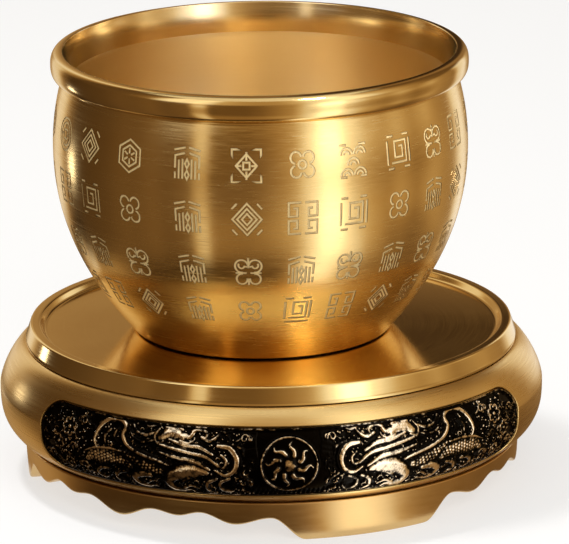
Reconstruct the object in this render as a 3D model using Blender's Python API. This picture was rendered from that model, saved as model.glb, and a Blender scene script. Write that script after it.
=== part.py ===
"""Brass bowl on a three-footed stand.

A turned bowl with a beaded rim stands loose on a shallow turned dish. The dish closes a
bulbous cast drum. The drum carries two curved relief plaques in cartouche recesses, and
it stands on a scalloped apron ring with three feet.

Metres, +Z up. The stand's axis is the Z axis, z = 0 is the plane that the feet stand on,
and the front is -Y. Azimuths are in degrees from the front, positive towards +X.
"""
import math

import bmesh
import bpy

# Clearance between pieces that seat on or in each other
SEAT_GAP = 0.0003

# Apron ring: the outer wall, the ledge that carries the drum and the spigot that centres it
APRON_HEIGHT = 0.0107
APRON_RADIUS = 0.0684
APRON_TAPER = 0.0007
APRON_WALL = 0.0036
APRON_EDGE_ROUND = 0.0006
LEDGE_THICKNESS = 0.0020
APRON_SPIGOT_HEIGHT = 0.0028
APRON_SPIGOT_WALL = 0.0030

# Scalloped lower edge: three feet, with lobes and notches mirrored about each foot.
# Each pair is a turning point: its share of the way from a foot's centre to the middle of
# the bay between two feet, and its height above the table.
FOOT_COUNT = 3
FOOT_AZIMUTH = 22.5
FOOT_FLAT_SHARE = 0.247
SHOULDER_NOTCH = (0.382, 0.0063)
SIDE_LOBE = (0.520, 0.0044)
DEEP_NOTCH = (0.652, 0.0072)
SMALL_LOBE = (0.748, 0.0058)
SMALL_NOTCH = (0.845, 0.0067)
BAY_LOBE_HEIGHT = 0.0034

# Drum
DRUM_HEIGHT = 0.0264
DRUM_RADIUS = 0.0750
DRUM_LOWER_HEIGHT = 0.0147
DRUM_BASE_INSET = 0.0009
DRUM_WALL = 0.0042
DRUM_FLANGE = 0.0025
DRUM_BASE_BORE = 0.0600
DRUM_SHOULDER_POWER = 1.42
DRUM_UNDERSIDE_POWER = 3.3
DRUM_UNDERSIDE_SPACING = 0.8

# Dish: a lip band on the drum's mouth, and a floor that the bowl stands on
DISH_BAND_HEIGHT = 0.0050
DISH_BAND_RADIUS = 0.0677
DISH_LIP_RADIUS = 0.0663
DISH_LIP_WIDTH = 0.0026
DISH_LIP_ROUND = 0.0005
DISH_DEPTH = 0.0019
DISH_WALL_SLOPE = 0.0012
DISH_FLOOR_FILLET = 0.0007
DISH_FLOOR = 0.0022
DISH_SPIGOT_HEIGHT = 0.0028
DISH_SPIGOT_WALL = 0.0020
DISH_SHOULDER = 0.0032
DISH_BAND_FOOT = 0.0008

# Bowl
BOWL_HEIGHT = 0.0784
BOWL_FOOT_RADIUS = 0.0352
BOWL_FOOT_LAND = 0.0050
BOWL_FOOT_RECESS = 0.0008
BOWL_BELLY_RADIUS = 0.0569
BOWL_BELLY_HEIGHT = 0.0519
BOWL_BELLY_POWER = 2.15
BOWL_NECK_RADIUS = 0.0541
BOWL_NECK_POWER = 2.0
BOWL_WALL = 0.0024
BOWL_FLOOR = 0.0036
BOWL_FLOOR_FILLET = 0.0060
BOWL_FOOT_ROUND = 0.0005
RIM_RADIUS = 0.0572
RIM_BORE_RADIUS = 0.0539
RIM_HEIGHT = 0.0074
RIM_ROUND_POWER = 2.6
RIM_INNER_BREAK = 0.0003
# The bowl is loose, and it is set down a little to the left of the stand's axis.
BOWL_SET_DOWN_X = -0.0022

# Cartouches: rounded oblongs that follow the drum, one in front and one behind
CARTOUCHE_AZIMUTH = 3.5
CARTOUCHE_HALF_ANGLE = 60.2
CARTOUCHE_FOOT = 0.0022
CARTOUCHE_HEIGHT = 0.0201
CARTOUCHE_CORNER = 0.0080
RECESS_DEPTH = 0.0022
RECESS_CUTTER_PROUD = 0.0030
PLAQUE_THICKNESS = 0.0009
PLAQUE_BORDER_WIDTH = 0.0009
PLAQUE_BORDER_SINK = 0.0003
PLAQUE_BORDER_BEVEL = 0.0002
MEDALLION_RADIUS = 0.0082
MEDALLION_SINK = 0.0001
MEDALLION_BEVEL = 0.0006

# Fineness of the meshes, in steps along each curve
TURN_STEPS = 72
DRUM_SHOULDER_STEPS = 7
DRUM_UNDERSIDE_STEPS = 6
DRUM_INSIDE_STEPS = 3
BOWL_OUTSIDE_STEPS = 10
BOWL_INSIDE_STEPS = 7
RIM_STEPS = 6
FILLET_STEPS = 2
APRON_STEPS = (2, 4, 3, 2, 2, 2, 3)
CARTOUCHE_COLUMNS = 16
CARTOUCHE_CORNER_COLUMNS = 4
CARTOUCHE_ROWS = 5
MEDALLION_STEPS = 24
SLOPE_STEP = 0.0002
SHARP_EDGE_DEG = 28.0

# Heights in the stack, from the table up
DRUM_BASE_Z = APRON_HEIGHT + SEAT_GAP
DRUM_TOP_Z = DRUM_BASE_Z + DRUM_HEIGHT
DRUM_WIDEST_Z = DRUM_BASE_Z + DRUM_LOWER_HEIGHT
DISH_SEAT_Z = DRUM_TOP_Z + SEAT_GAP
DISH_TOP_Z = DISH_SEAT_Z + DISH_BAND_HEIGHT
DISH_FLOOR_Z = DISH_TOP_Z - DISH_DEPTH
BOWL_BASE_Z = DISH_FLOOR_Z + SEAT_GAP

# Radii that are shared across a seat
DRUM_BASE_RADIUS = APRON_RADIUS - DRUM_BASE_INSET
DISH_SPIGOT_RADIUS = DISH_BAND_RADIUS - DISH_SHOULDER
DRUM_MOUTH_BORE = DISH_SPIGOT_RADIUS + SEAT_GAP
APRON_SPIGOT_RADIUS = DRUM_BASE_BORE - SEAT_GAP

BRASS = (0.62, 0.40, 0.13, 1.0)
DISH_BRASS = (0.58, 0.37, 0.12, 1.0)
BLACKENED_BRASS = (0.035, 0.025, 0.020, 1.0)


def clear_scene():
    for item in list(bpy.data.objects):
        bpy.data.objects.remove(item, do_unlink=True)


def metal(name, colour, roughness):
    """A Principled metal of one colour."""
    material = bpy.data.materials.new(name)
    material.use_nodes = True
    shader = material.node_tree.nodes["Principled BSDF"]
    shader.inputs["Base Color"].default_value = colour
    shader.inputs["Roughness"].default_value = roughness
    shader.inputs["Metallic"].default_value = 1.0
    material.diffuse_color = colour
    return material


def finish_object(name, mesh_builder, location, material):
    """Turn a bmesh into a named, smooth shaded object with its faces pointing out."""
    bmesh.ops.recalc_face_normals(mesh_builder, faces=mesh_builder.faces)
    mesh = bpy.data.meshes.new(name)
    mesh_builder.to_mesh(mesh)
    mesh_builder.free()
    mesh.shade_smooth()
    mesh.set_sharp_from_angle(angle=math.radians(SHARP_EDGE_DEG))
    if material is not None:
        mesh.materials.append(material)
    item = bpy.data.objects.new(name, mesh)
    item.location = location
    bpy.context.collection.objects.link(item)
    return item


def on_circle(radius, azimuth, height):
    """Point at an azimuth in radians from the front, positive towards +X."""
    return (radius * math.sin(azimuth), -radius * math.cos(azimuth), height)


def turned(name, outline, location, material):
    """Turn an outline of (radius, height) pairs about Z.

    An outline that starts and ends on the axis makes a solid disc or vessel. Any other
    outline is a closed loop and makes a ring.
    """
    builder = bmesh.new()
    rings = []
    for radius, height in outline:
        if radius == 0.0:
            rings.append([builder.verts.new((0.0, 0.0, height))] * TURN_STEPS)
            continue
        ring = []
        for step in range(TURN_STEPS):
            azimuth = 2.0 * math.pi * step / TURN_STEPS
            ring.append(builder.verts.new(on_circle(radius, azimuth, height)))
        rings.append(ring)
    if outline[0][0] > 0.0:
        rings.append(rings[0])
    skin(builder, rings)
    return finish_object(name, builder, location, material)


def skin(builder, rings):
    """Join neighbouring closed rings with quads, or with triangles at a point."""
    for lower, upper in zip(rings, rings[1:]):
        count = len(lower)
        for step in range(count):
            after = (step + 1) % count
            corners = []
            for vert in (lower[step], lower[after], upper[after], upper[step]):
                if vert not in corners:
                    corners.append(vert)
            builder.faces.new(corners)


def arc(centre, radii, start_deg, end_deg, steps, power=2.0):
    """Points on a quarter or half of a superellipse, both ends included."""
    points = []
    for step in range(steps + 1):
        angle = math.radians(start_deg + (end_deg - start_deg) * step / steps)
        across = math.cos(angle)
        up = math.sin(angle)
        radius = centre[0] + radii[0] * math.copysign(abs(across) ** (2.0 / power), across)
        height = centre[1] + radii[1] * math.copysign(abs(up) ** (2.0 / power), up)
        points.append((radius, height))
    return points


def blend(start, corner, end, steps):
    """Points on a smooth curve from start to end that heads for the corner."""
    points = []
    for step in range(steps + 1):
        share = step / steps
        pair = []
        for a, b, c in zip(start, corner, end):
            pair.append((1 - share) ** 2 * a + 2 * share * (1 - share) * b + share ** 2 * c)
        points.append(tuple(pair))
    return points


# Drum


def drum_radius_at(height):
    """Outer radius of the drum at a height above the table."""
    if height >= DRUM_WIDEST_Z:
        share = min(1.0, (height - DRUM_WIDEST_Z) / (DRUM_TOP_Z - DRUM_WIDEST_Z))
        fullness = (1.0 - share ** DRUM_SHOULDER_POWER) ** (1.0 / DRUM_SHOULDER_POWER)
        return DISH_BAND_RADIUS + (DRUM_RADIUS - DISH_BAND_RADIUS) * fullness
    share = min(1.0, (DRUM_WIDEST_Z - height) / DRUM_LOWER_HEIGHT)
    return DRUM_RADIUS - (DRUM_RADIUS - DRUM_BASE_RADIUS) * share ** DRUM_UNDERSIDE_POWER


def drum_point(height, offset):
    """Radius and height of a point that lies an offset outside the drum's surface."""
    rise = drum_radius_at(height + SLOPE_STEP) - drum_radius_at(height - SLOPE_STEP)
    run = 2.0 * SLOPE_STEP
    length = math.hypot(rise, run)
    radius = drum_radius_at(height) + offset * run / length
    return radius, height - offset * rise / length


def drum_outline():
    upper = arc(
        (DISH_BAND_RADIUS, DRUM_WIDEST_Z),
        (DRUM_RADIUS - DISH_BAND_RADIUS, DRUM_TOP_Z - DRUM_WIDEST_Z),
        0.0, 90.0, DRUM_SHOULDER_STEPS, DRUM_SHOULDER_POWER,
    )
    lower = []
    for step in range(DRUM_UNDERSIDE_STEPS):
        share = (step / DRUM_UNDERSIDE_STEPS) ** DRUM_UNDERSIDE_SPACING
        height = DRUM_BASE_Z + DRUM_LOWER_HEIGHT * share
        lower.append((drum_radius_at(height), height))
    bore_foot = DRUM_TOP_Z - DISH_SPIGOT_HEIGHT - SEAT_GAP
    flange_top = DRUM_BASE_Z + DRUM_FLANGE
    inside = []
    for step in range(DRUM_INSIDE_STEPS + 1):
        height = bore_foot + (flange_top - bore_foot) * step / DRUM_INSIDE_STEPS
        inside.append((drum_radius_at(height) - DRUM_WALL, height))
    mouth = [(DRUM_MOUTH_BORE, DRUM_TOP_Z), (DRUM_MOUTH_BORE, bore_foot)]
    base = [(DRUM_BASE_BORE, flange_top), (DRUM_BASE_BORE, DRUM_BASE_Z)]
    return lower + upper + mouth + inside + base


# Cartouches


def cartouche_sheet(inset):
    """Grid of (along, up) positions inside the cartouche's rounded outline.

    Along is an arc length at the drum's widest radius, and up is a height from the
    cartouche's middle. The outline is drawn in by the inset on every side.
    """
    half_length = DRUM_RADIUS * math.radians(CARTOUCHE_HALF_ANGLE) - inset
    half_height = 0.5 * CARTOUCHE_HEIGHT - inset
    corner = CARTOUCHE_CORNER - inset
    straight = half_length - corner
    columns = []
    for step in range(CARTOUCHE_CORNER_COLUMNS):
        angle = 0.5 * math.pi * (step / CARTOUCHE_CORNER_COLUMNS)
        along = -straight - corner * math.cos(angle)
        columns.append((along, half_height - corner + corner * math.sin(angle)))
    for step in range(CARTOUCHE_COLUMNS + 1):
        columns.append((straight * (2.0 * step / CARTOUCHE_COLUMNS - 1.0), half_height))
    for along, reach in reversed(columns[:CARTOUCHE_CORNER_COLUMNS]):
        columns.append((-along, reach))
    grid = []
    for along, reach in columns:
        rows = range(CARTOUCHE_ROWS + 1)
        grid.append([(along, reach * (2.0 * row / CARTOUCHE_ROWS - 1.0)) for row in rows])
    return grid


def on_drum(azimuth, position, offset):
    """Point beside a cartouche's middle that lies an offset outside the drum's surface."""
    along, up = position
    middle = DRUM_BASE_Z + CARTOUCHE_FOOT + 0.5 * CARTOUCHE_HEIGHT
    radius, height = drum_point(middle + up, offset)
    return on_circle(radius, math.radians(azimuth) + along / DRUM_RADIUS, height)


def rim_of(grid):
    """The border of a grid, as one closed loop."""
    last = len(grid) - 1
    top = len(grid[0]) - 1
    loop = [grid[column][0] for column in range(last)]
    loop += [grid[last][row] for row in range(top)]
    loop += [grid[column][top] for column in range(last, 0, -1)]
    loop += [grid[0][row] for row in range(top, 0, -1)]
    return loop


def cartouche_solid(name, azimuth, stages, material):
    """A solid that follows the drum, built from stages of (inset, offset).

    The first and last stage are whole sheets, and the stages between them are loops.
    """
    builder = bmesh.new()

    def place(position, offset):
        return builder.verts.new(on_drum(azimuth, position, offset))

    loops = []
    for number, (inset, offset) in enumerate(stages):
        grid = cartouche_sheet(inset)
        if number in (0, len(stages) - 1):
            sheet = [[place(position, offset) for position in column] for column in grid]
            for left, right in zip(sheet, sheet[1:]):
                for row in range(CARTOUCHE_ROWS):
                    builder.faces.new((left[row], right[row], right[row + 1], left[row + 1]))
            loops.append(rim_of(sheet))
        else:
            loops.append([place(position, offset) for position in rim_of(grid)])
    skin(builder, loops)
    return finish_object(name, builder, (0.0, 0.0, 0.0), material)


def medallion(name, azimuth, root, crown):
    """A round boss on the drum's curve, from its root inside the plate to its crown."""
    builder = bmesh.new()
    stages = [
        (0.0, root),
        (MEDALLION_RADIUS, root),
        (MEDALLION_RADIUS, crown - MEDALLION_BEVEL),
        (MEDALLION_RADIUS - MEDALLION_BEVEL, crown),
        (0.5 * MEDALLION_RADIUS, crown),
        (0.0, crown),
    ]
    rings = []
    for radius, offset in stages:
        if radius == 0.0:
            centre = builder.verts.new(on_drum(azimuth, (0.0, 0.0), offset))
            rings.append([centre] * MEDALLION_STEPS)
            continue
        ring = []
        for step in range(MEDALLION_STEPS):
            angle = 2.0 * math.pi * step / MEDALLION_STEPS
            position = (radius * math.cos(angle), radius * math.sin(angle))
            ring.append(builder.verts.new(on_drum(azimuth, position, offset)))
        rings.append(ring)
    skin(builder, rings)
    return as_tool(finish_object(name, builder, (0.0, 0.0, 0.0), None))


def plaque(side, azimuth, material):
    """A relief plate: a sunk field inside a narrow raised border, and a round boss."""
    name = "plaque_" + side
    back = SEAT_GAP - RECESS_DEPTH
    field = back + PLAQUE_THICKNESS
    border = -PLAQUE_BORDER_SINK
    field_inset = SEAT_GAP + PLAQUE_BORDER_WIDTH + PLAQUE_BORDER_BEVEL
    stages = [
        (SEAT_GAP, back),
        (SEAT_GAP, border - PLAQUE_BORDER_BEVEL),
        (SEAT_GAP + PLAQUE_BORDER_BEVEL, border),
        (SEAT_GAP + PLAQUE_BORDER_WIDTH, border),
        (field_inset, field),
    ]
    plate = cartouche_solid(name, azimuth, stages, material)
    root = back + 0.5 * PLAQUE_THICKNESS
    boss = medallion("boss_shape_" + side, azimuth, root, -MEDALLION_SINK)
    combine(plate, boss, "UNION")
    return plate


def as_tool(item):
    """Mark an object as a shape that only adds to or cuts another."""
    item.hide_render = True
    item.display_type = "WIRE"
    return item


def combine(item, tool, operation):
    step = item.modifiers.new(tool.name, "BOOLEAN")
    step.operation = operation
    step.solver = "EXACT"
    step.object = tool


def make_drum(material):
    drum = turned("drum", drum_outline(), (0.0, 0.0, 0.0), material)
    for side, turn in (("front", 0.0), ("back", 180.0)):
        stages = [(0.0, -RECESS_DEPTH), (0.0, RECESS_CUTTER_PROUD)]
        azimuth = CARTOUCHE_AZIMUTH + turn
        cutter = cartouche_solid("recess_cutter_" + side, azimuth, stages, None)
        combine(drum, as_tool(cutter), "DIFFERENCE")
    return drum


# Apron ring


def apron_edge():
    """Stations round the ring, as pairs of azimuth in radians and edge height."""
    half_pitch = math.pi / FOOT_COUNT
    knots = [
        (0.0, 0.0), (FOOT_FLAT_SHARE, 0.0), SHOULDER_NOTCH, SIDE_LOBE, DEEP_NOTCH,
        SMALL_LOBE, SMALL_NOTCH, (1.0, BAY_LOBE_HEIGHT),
    ]
    half = []
    for (start, low), (end, high), steps in zip(knots, knots[1:], APRON_STEPS):
        for step in range(steps):
            share = step / steps
            ease = 0.5 - 0.5 * math.cos(math.pi * share)
            half.append((start + (end - start) * share, low + (high - low) * ease))
    whole = half + [(1.0, BAY_LOBE_HEIGHT)]
    whole += [(2.0 - share, height) for share, height in reversed(half[1:])]
    stations = []
    for foot in range(FOOT_COUNT):
        centre = math.radians(FOOT_AZIMUTH) + 2.0 * half_pitch * foot
        stations += [(centre + share * half_pitch, height) for share, height in whole]
    return stations


def apron_section(edge):
    """Section of the ring as (radius, height) pairs, for one height of the lower edge."""
    foot_radius = APRON_RADIUS - APRON_TAPER * (1.0 - edge / APRON_HEIGHT)
    inner_radius = APRON_RADIUS - APRON_TAPER - APRON_WALL
    spigot_inner = APRON_SPIGOT_RADIUS - APRON_SPIGOT_WALL
    ledge_z = APRON_HEIGHT - LEDGE_THICKNESS
    return [
        (APRON_RADIUS - 0.5 * APRON_EDGE_ROUND, APRON_HEIGHT),
        (APRON_RADIUS, APRON_HEIGHT - 0.5 * APRON_EDGE_ROUND),
        (foot_radius, edge + APRON_EDGE_ROUND),
        (foot_radius - APRON_EDGE_ROUND, edge),
        (inner_radius + APRON_EDGE_ROUND, edge),
        (inner_radius, edge + APRON_EDGE_ROUND),
        (inner_radius, ledge_z),
        (spigot_inner, ledge_z),
        (spigot_inner, APRON_HEIGHT + APRON_SPIGOT_HEIGHT),
        (APRON_SPIGOT_RADIUS, APRON_HEIGHT + APRON_SPIGOT_HEIGHT),
        (APRON_SPIGOT_RADIUS, APRON_HEIGHT),
    ]


def make_apron(material):
    builder = bmesh.new()
    sections = []
    for azimuth, edge in apron_edge():
        section = apron_section(edge)
        sections.append([builder.verts.new(on_circle(r, azimuth, z)) for r, z in section])
    skin(builder, sections + [sections[0]])
    return finish_object("apron_ring", builder, (0.0, 0.0, 0.0), material)


# Dish


def dish_outline():
    """Section of the dish in heights above its seat on the drum."""
    spigot_inner = DISH_SPIGOT_RADIUS - DISH_SPIGOT_WALL
    floor = DISH_BAND_HEIGHT - DISH_DEPTH
    lip_inner = DISH_LIP_RADIUS - DISH_LIP_WIDTH
    floor_radius = lip_inner - DISH_WALL_SLOPE
    crown = DISH_BAND_HEIGHT - DISH_LIP_ROUND
    outline = [
        (0.0, floor - DISH_FLOOR),
        (spigot_inner, floor - DISH_FLOOR),
        (spigot_inner, -DISH_SPIGOT_HEIGHT),
        (DISH_SPIGOT_RADIUS, -DISH_SPIGOT_HEIGHT),
        (DISH_SPIGOT_RADIUS, 0.0),
        (DISH_BAND_RADIUS, 0.0),
        (DISH_BAND_RADIUS, DISH_BAND_FOOT),
    ]
    outline += arc(
        (DISH_LIP_RADIUS - DISH_LIP_ROUND, crown), (DISH_LIP_ROUND, DISH_LIP_ROUND),
        0.0, 90.0, FILLET_STEPS,
    )
    outline += arc(
        (lip_inner + DISH_LIP_ROUND, crown), (DISH_LIP_ROUND, DISH_LIP_ROUND),
        90.0, 180.0, FILLET_STEPS,
    )
    wall_foot = (floor_radius + 0.5 * DISH_WALL_SLOPE, floor + 0.5 * DISH_DEPTH)
    floor_edge = (floor_radius - DISH_FLOOR_FILLET, floor)
    outline += blend(wall_foot, (floor_radius, floor), floor_edge, FILLET_STEPS)
    outline.append((0.0, floor))
    return outline


# Bowl


def bowl_radius_at(height):
    """Outer radius of the bowl's body at a height above its foot."""
    if height <= BOWL_BELLY_HEIGHT:
        share = (BOWL_BELLY_HEIGHT - height) / BOWL_BELLY_HEIGHT
        flare = BOWL_BELLY_RADIUS - BOWL_FOOT_RADIUS
        return BOWL_BELLY_RADIUS - flare * share ** BOWL_BELLY_POWER
    neck = BOWL_HEIGHT - RIM_HEIGHT
    share = (height - BOWL_BELLY_HEIGHT) / (neck - BOWL_BELLY_HEIGHT)
    return BOWL_BELLY_RADIUS - (BOWL_BELLY_RADIUS - BOWL_NECK_RADIUS) * share ** BOWL_NECK_POWER


def bowl_inside_at(height):
    """Point of the inner wall that lies a wall's thickness inside a point of the outer."""
    rise = bowl_radius_at(height + SLOPE_STEP) - bowl_radius_at(height - SLOPE_STEP)
    run = 2.0 * SLOPE_STEP
    length = math.hypot(rise, run)
    radius = bowl_radius_at(height) - BOWL_WALL * run / length
    return radius, height + BOWL_WALL * rise / length


def bowl_outline():
    """Section of the bowl in heights above its foot, from the axis round to the floor."""
    neck = BOWL_HEIGHT - RIM_HEIGHT
    outline = [
        (0.0, BOWL_FOOT_RECESS),
        (BOWL_FOOT_RADIUS - BOWL_FOOT_LAND, BOWL_FOOT_RECESS),
        (BOWL_FOOT_RADIUS - BOWL_FOOT_LAND + BOWL_FOOT_RECESS, 0.0),
        (BOWL_FOOT_RADIUS - BOWL_FOOT_ROUND, 0.0),
    ]
    for step in range(BOWL_OUTSIDE_STEPS):
        height = BOWL_FOOT_ROUND + (neck - BOWL_FOOT_ROUND) * step / BOWL_OUTSIDE_STEPS
        outline.append((bowl_radius_at(height), height))
    half_bead = 0.5 * RIM_HEIGHT
    outline += arc(
        (BOWL_NECK_RADIUS, BOWL_HEIGHT - half_bead),
        (RIM_RADIUS - BOWL_NECK_RADIUS, half_bead),
        -90.0, 90.0, RIM_STEPS, RIM_ROUND_POWER,
    )
    bore_top = (RIM_BORE_RADIUS, BOWL_HEIGHT - RIM_INNER_BREAK)
    neck_bore = bowl_inside_at(neck)
    bore_corner = (RIM_BORE_RADIUS, BOWL_HEIGHT - half_bead)
    outline += blend(bore_top, bore_corner, neck_bore, FILLET_STEPS)
    for step in range(1, BOWL_INSIDE_STEPS + 1):
        height = neck + (BOWL_FLOOR - neck) * step / BOWL_INSIDE_STEPS
        outline.append(bowl_inside_at(height))
    above, wall_foot = outline[-2:]
    slope = (above[0] - wall_foot[0]) / (above[1] - wall_foot[1])
    floor_corner = (wall_foot[0] - slope * (wall_foot[1] - BOWL_FLOOR), BOWL_FLOOR)
    floor_edge = (floor_corner[0] - BOWL_FLOOR_FILLET, BOWL_FLOOR)
    outline += blend(wall_foot, floor_corner, floor_edge, FILLET_STEPS)[1:]
    outline.append((0.0, BOWL_FLOOR))
    return outline


def build():
    clear_scene()
    brass = metal("brushed_brass", BRASS, 0.28)
    polished = metal("polished_brass", DISH_BRASS, 0.12)
    cast = metal("satin_brass", BRASS, 0.36)
    blackened = metal("blackened_brass", BLACKENED_BRASS, 0.42)
    make_apron(cast)
    make_drum(cast)
    plaque("front", CARTOUCHE_AZIMUTH, blackened)
    plaque("back", CARTOUCHE_AZIMUTH + 180.0, blackened)
    turned("dish", dish_outline(), (0.0, 0.0, DISH_SEAT_Z), polished)
    turned("bowl", bowl_outline(), (BOWL_SET_DOWN_X, 0.0, BOWL_BASE_Z), brass)


build()
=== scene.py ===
# %% [markdown]
# # A turned brass bowl on its three-footed stand
#
# The object is desk-top brassware: a bowl with a beaded rim stands loose in the shallow dish of
# a bulbous stand. The stand is a cast drum, and two long blackened plaques with dragons in
# relief are let into it. A scalloped ring with three feet carries the drum.
#
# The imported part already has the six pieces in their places, with plain edges. This lesson
# draws each one again on the same lines and adds what a part can leave out: fine edges,
# engraving, relief, the finish of each metal, light and a camera.

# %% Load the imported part
from math import atan2, copysign, cos, degrees, hypot, pi, radians, sin, sqrt

import bpy
import numpy as np
from mathutils import Matrix, Vector


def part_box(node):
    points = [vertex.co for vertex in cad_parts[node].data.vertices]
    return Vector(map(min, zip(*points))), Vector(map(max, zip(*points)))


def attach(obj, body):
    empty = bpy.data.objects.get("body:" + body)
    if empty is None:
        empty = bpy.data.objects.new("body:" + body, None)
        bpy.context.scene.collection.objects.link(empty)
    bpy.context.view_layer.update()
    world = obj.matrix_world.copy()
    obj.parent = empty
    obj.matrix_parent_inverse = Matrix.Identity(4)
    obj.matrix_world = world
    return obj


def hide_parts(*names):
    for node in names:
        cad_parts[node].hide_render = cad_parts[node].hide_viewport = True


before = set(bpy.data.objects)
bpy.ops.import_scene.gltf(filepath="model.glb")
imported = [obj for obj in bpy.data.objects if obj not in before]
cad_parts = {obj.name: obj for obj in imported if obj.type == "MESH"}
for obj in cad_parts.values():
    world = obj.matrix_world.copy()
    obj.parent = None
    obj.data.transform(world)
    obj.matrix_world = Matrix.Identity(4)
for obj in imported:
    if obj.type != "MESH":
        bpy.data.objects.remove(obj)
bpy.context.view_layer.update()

MM = 0.001

# %% [markdown]
# ## Outlines
#
# A turner cuts a profile while the work spins, so each round piece here is an outline of
# (radius, height) pairs turned about its axis. Metal never has a perfectly sharp corner: a
# corner can carry a small radius, which is drawn as a short curve with one extra point just
# beside it. That extra point keeps the soft shading inside the curve and off the flats.

# %% Corners with a radius
FILLET_STEPS = 4
SUPPORT = 0.10 * MM


def rounded(corners, closed=False):
    """Outline through (radius, height, fillet) corners, each fillet drawn as a short curve."""
    points = [np.array(corner[:2], float) for corner in corners]
    fillets = [corner[2] if len(corner) > 2 else 0.0 for corner in corners]
    outline = []
    last = len(points) - 1
    for number, (point, fillet) in enumerate(zip(points, fillets)):
        if fillet == 0.0 or (not closed and number in (0, last)):
            outline.append(tuple(point))
            continue
        before = points[number - 1] - point
        after = points[(number + 1) % len(points)] - point
        reach_before, reach_after = np.linalg.norm(before), np.linalg.norm(after)
        before, after = before / reach_before, after / reach_after
        if fillet + SUPPORT < 0.5 * reach_before:
            outline.append(tuple(point + before * (fillet + SUPPORT)))
        for step in range(FILLET_STEPS + 1):
            share = step / FILLET_STEPS
            curve = before * fillet * (1.0 - share) ** 2 + after * fillet * share ** 2
            outline.append(tuple(point + curve))
        if fillet + SUPPORT < 0.5 * reach_after:
            outline.append(tuple(point + after * (fillet + SUPPORT)))
    return outline


# %% Turning an outline
def on_circle(radius, a, height):
    """Point at a radius and a height, at an angle about Z that starts in front."""
    return radius * sin(a), -radius * cos(a), height


def bridge(low, high):
    """Faces between two closed rows of point numbers. Corners that coincide count once."""
    corners = zip(low, low[1:] + low[:1], high[1:] + high[:1], high)
    return [tuple(dict.fromkeys(corner)) for corner in corners]


def turn(outline, steps):
    """Points and faces of an outline turned about Z. A point on the axis closes the end."""
    angles = np.linspace(0.0, 2.0 * pi, steps, endpoint=False)
    points, rings, faces = [], [], []
    for radius, height in outline:
        if radius < 1e-9:
            rings.append([len(points)] * steps)
            points.append((0.0, 0.0, height))
            continue
        rings.append(list(range(len(points), len(points) + steps)))
        points += [on_circle(radius, a, height) for a in angles]
    if outline[0][0] > 1e-9:
        rings.append(rings[0])
    for low, high in zip(rings, rings[1:]):
        faces += bridge(low, high)
    return points, faces


def add_piece(name, points, faces, body, stands_for=None, slot=None, centre=(0.0, 0.0, 0.0)):
    """A smooth shaded mesh object with its faces pointing out, riding on its CAD body."""
    mesh = bpy.data.meshes.new(name)
    mesh.from_pydata([tuple(map(float, point)) for point in points], [], faces)
    mesh.validate()
    mesh.shade_smooth()
    piece = bpy.data.objects.new(name, mesh)
    bpy.context.scene.collection.objects.link(piece)
    piece.location = centre
    if body:
        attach(piece, body)
    if stands_for:
        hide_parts(stands_for)
    print(name, "has", len(mesh.polygons), "faces")
    return piece


# %% [markdown]
# ## Cutting into a smooth wall
#
# The plaques' recesses and the engraving are real cuts. Blender's manifold Boolean makes them
# fast and clean, but it also splits the smooth wall round each cut into slivers, which would
# show as creases in a mirror finish. The cure is to give each corner that still lies on the
# turned outline the outline's own normal, and to leave the walls of a cut as they are. Faces in
# a cut get a finish of their own, and those that reach the wall can get a second one.

# %% Nearest place on a line
def nearest(line, places):
    """Distance from places to a line of points, the segment there and the share along it."""
    best = np.full(len(places), 1e9)
    segment, share = np.zeros(len(places), int), np.zeros(len(places))
    for number, (a, b) in enumerate(zip(line, line[1:])):
        run = b - a
        along = np.clip((places - a) @ run / max(run @ run, 1e-18), 0.0, 1.0)
        gap = np.linalg.norm(places - a - along[:, None] * run, axis=1)
        near = gap < best
        best[near], segment[near], share[near] = gap[near], number, along[near]
    return best, segment, share


# %% Normals from the outline
def outline_normals(outline):
    """Normal of the outline at each of its points, pointing to the side a turned piece shows."""
    line = np.array(outline)
    runs = np.diff(line, axis=0)
    lengths = np.maximum(np.linalg.norm(runs, axis=1), 1e-12)[:, None]
    flat = np.stack([runs[:, 1], -runs[:, 0]], 1) / lengths
    normals = np.vstack([flat[:1], flat[:-1] + flat[1:], flat[-1:]])
    return normals / np.linalg.norm(normals, axis=1)[:, None]


def follow_outline(points, outline):
    """Distance of points to the turned outline, and the outline's smooth normal there."""
    radius = np.hypot(points[:, 0], points[:, 1])
    gap, segment, share = nearest(np.array(outline), np.stack([radius, points[:, 2]], 1))
    normals = outline_normals(outline)
    start = normals[segment]
    found = start + share[:, None] * (normals[segment + 1] - start)
    outward = points[:, :2] / np.maximum(radius, 1e-9)[:, None]
    normal = np.column_stack([outward * found[:, :1], found[:, 1]])
    return gap, normal / np.linalg.norm(normal, axis=1)[:, None]


# %% Cutting
ON_THE_WALL = 0.018 * MM


def cut_piece(piece, cutters):
    """Takes the cutters out of the piece with the manifold Boolean and deletes them."""
    for cutter in cutters:
        step = piece.modifiers.new(cutter.name, "BOOLEAN")
        step.operation = "DIFFERENCE"
        step.solver = "MANIFOLD"
        step.object = cutter
    graph = bpy.context.evaluated_depsgraph_get()
    mesh = bpy.data.meshes.new_from_object(piece.evaluated_get(graph))
    piece.modifiers.clear()
    mesh.name = piece.name
    piece.data = mesh
    for cutter in cutters:
        bpy.data.objects.remove(cutter, do_unlink=True)
    print(piece.name, "after cutting has", len(mesh.polygons), "faces")


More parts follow.
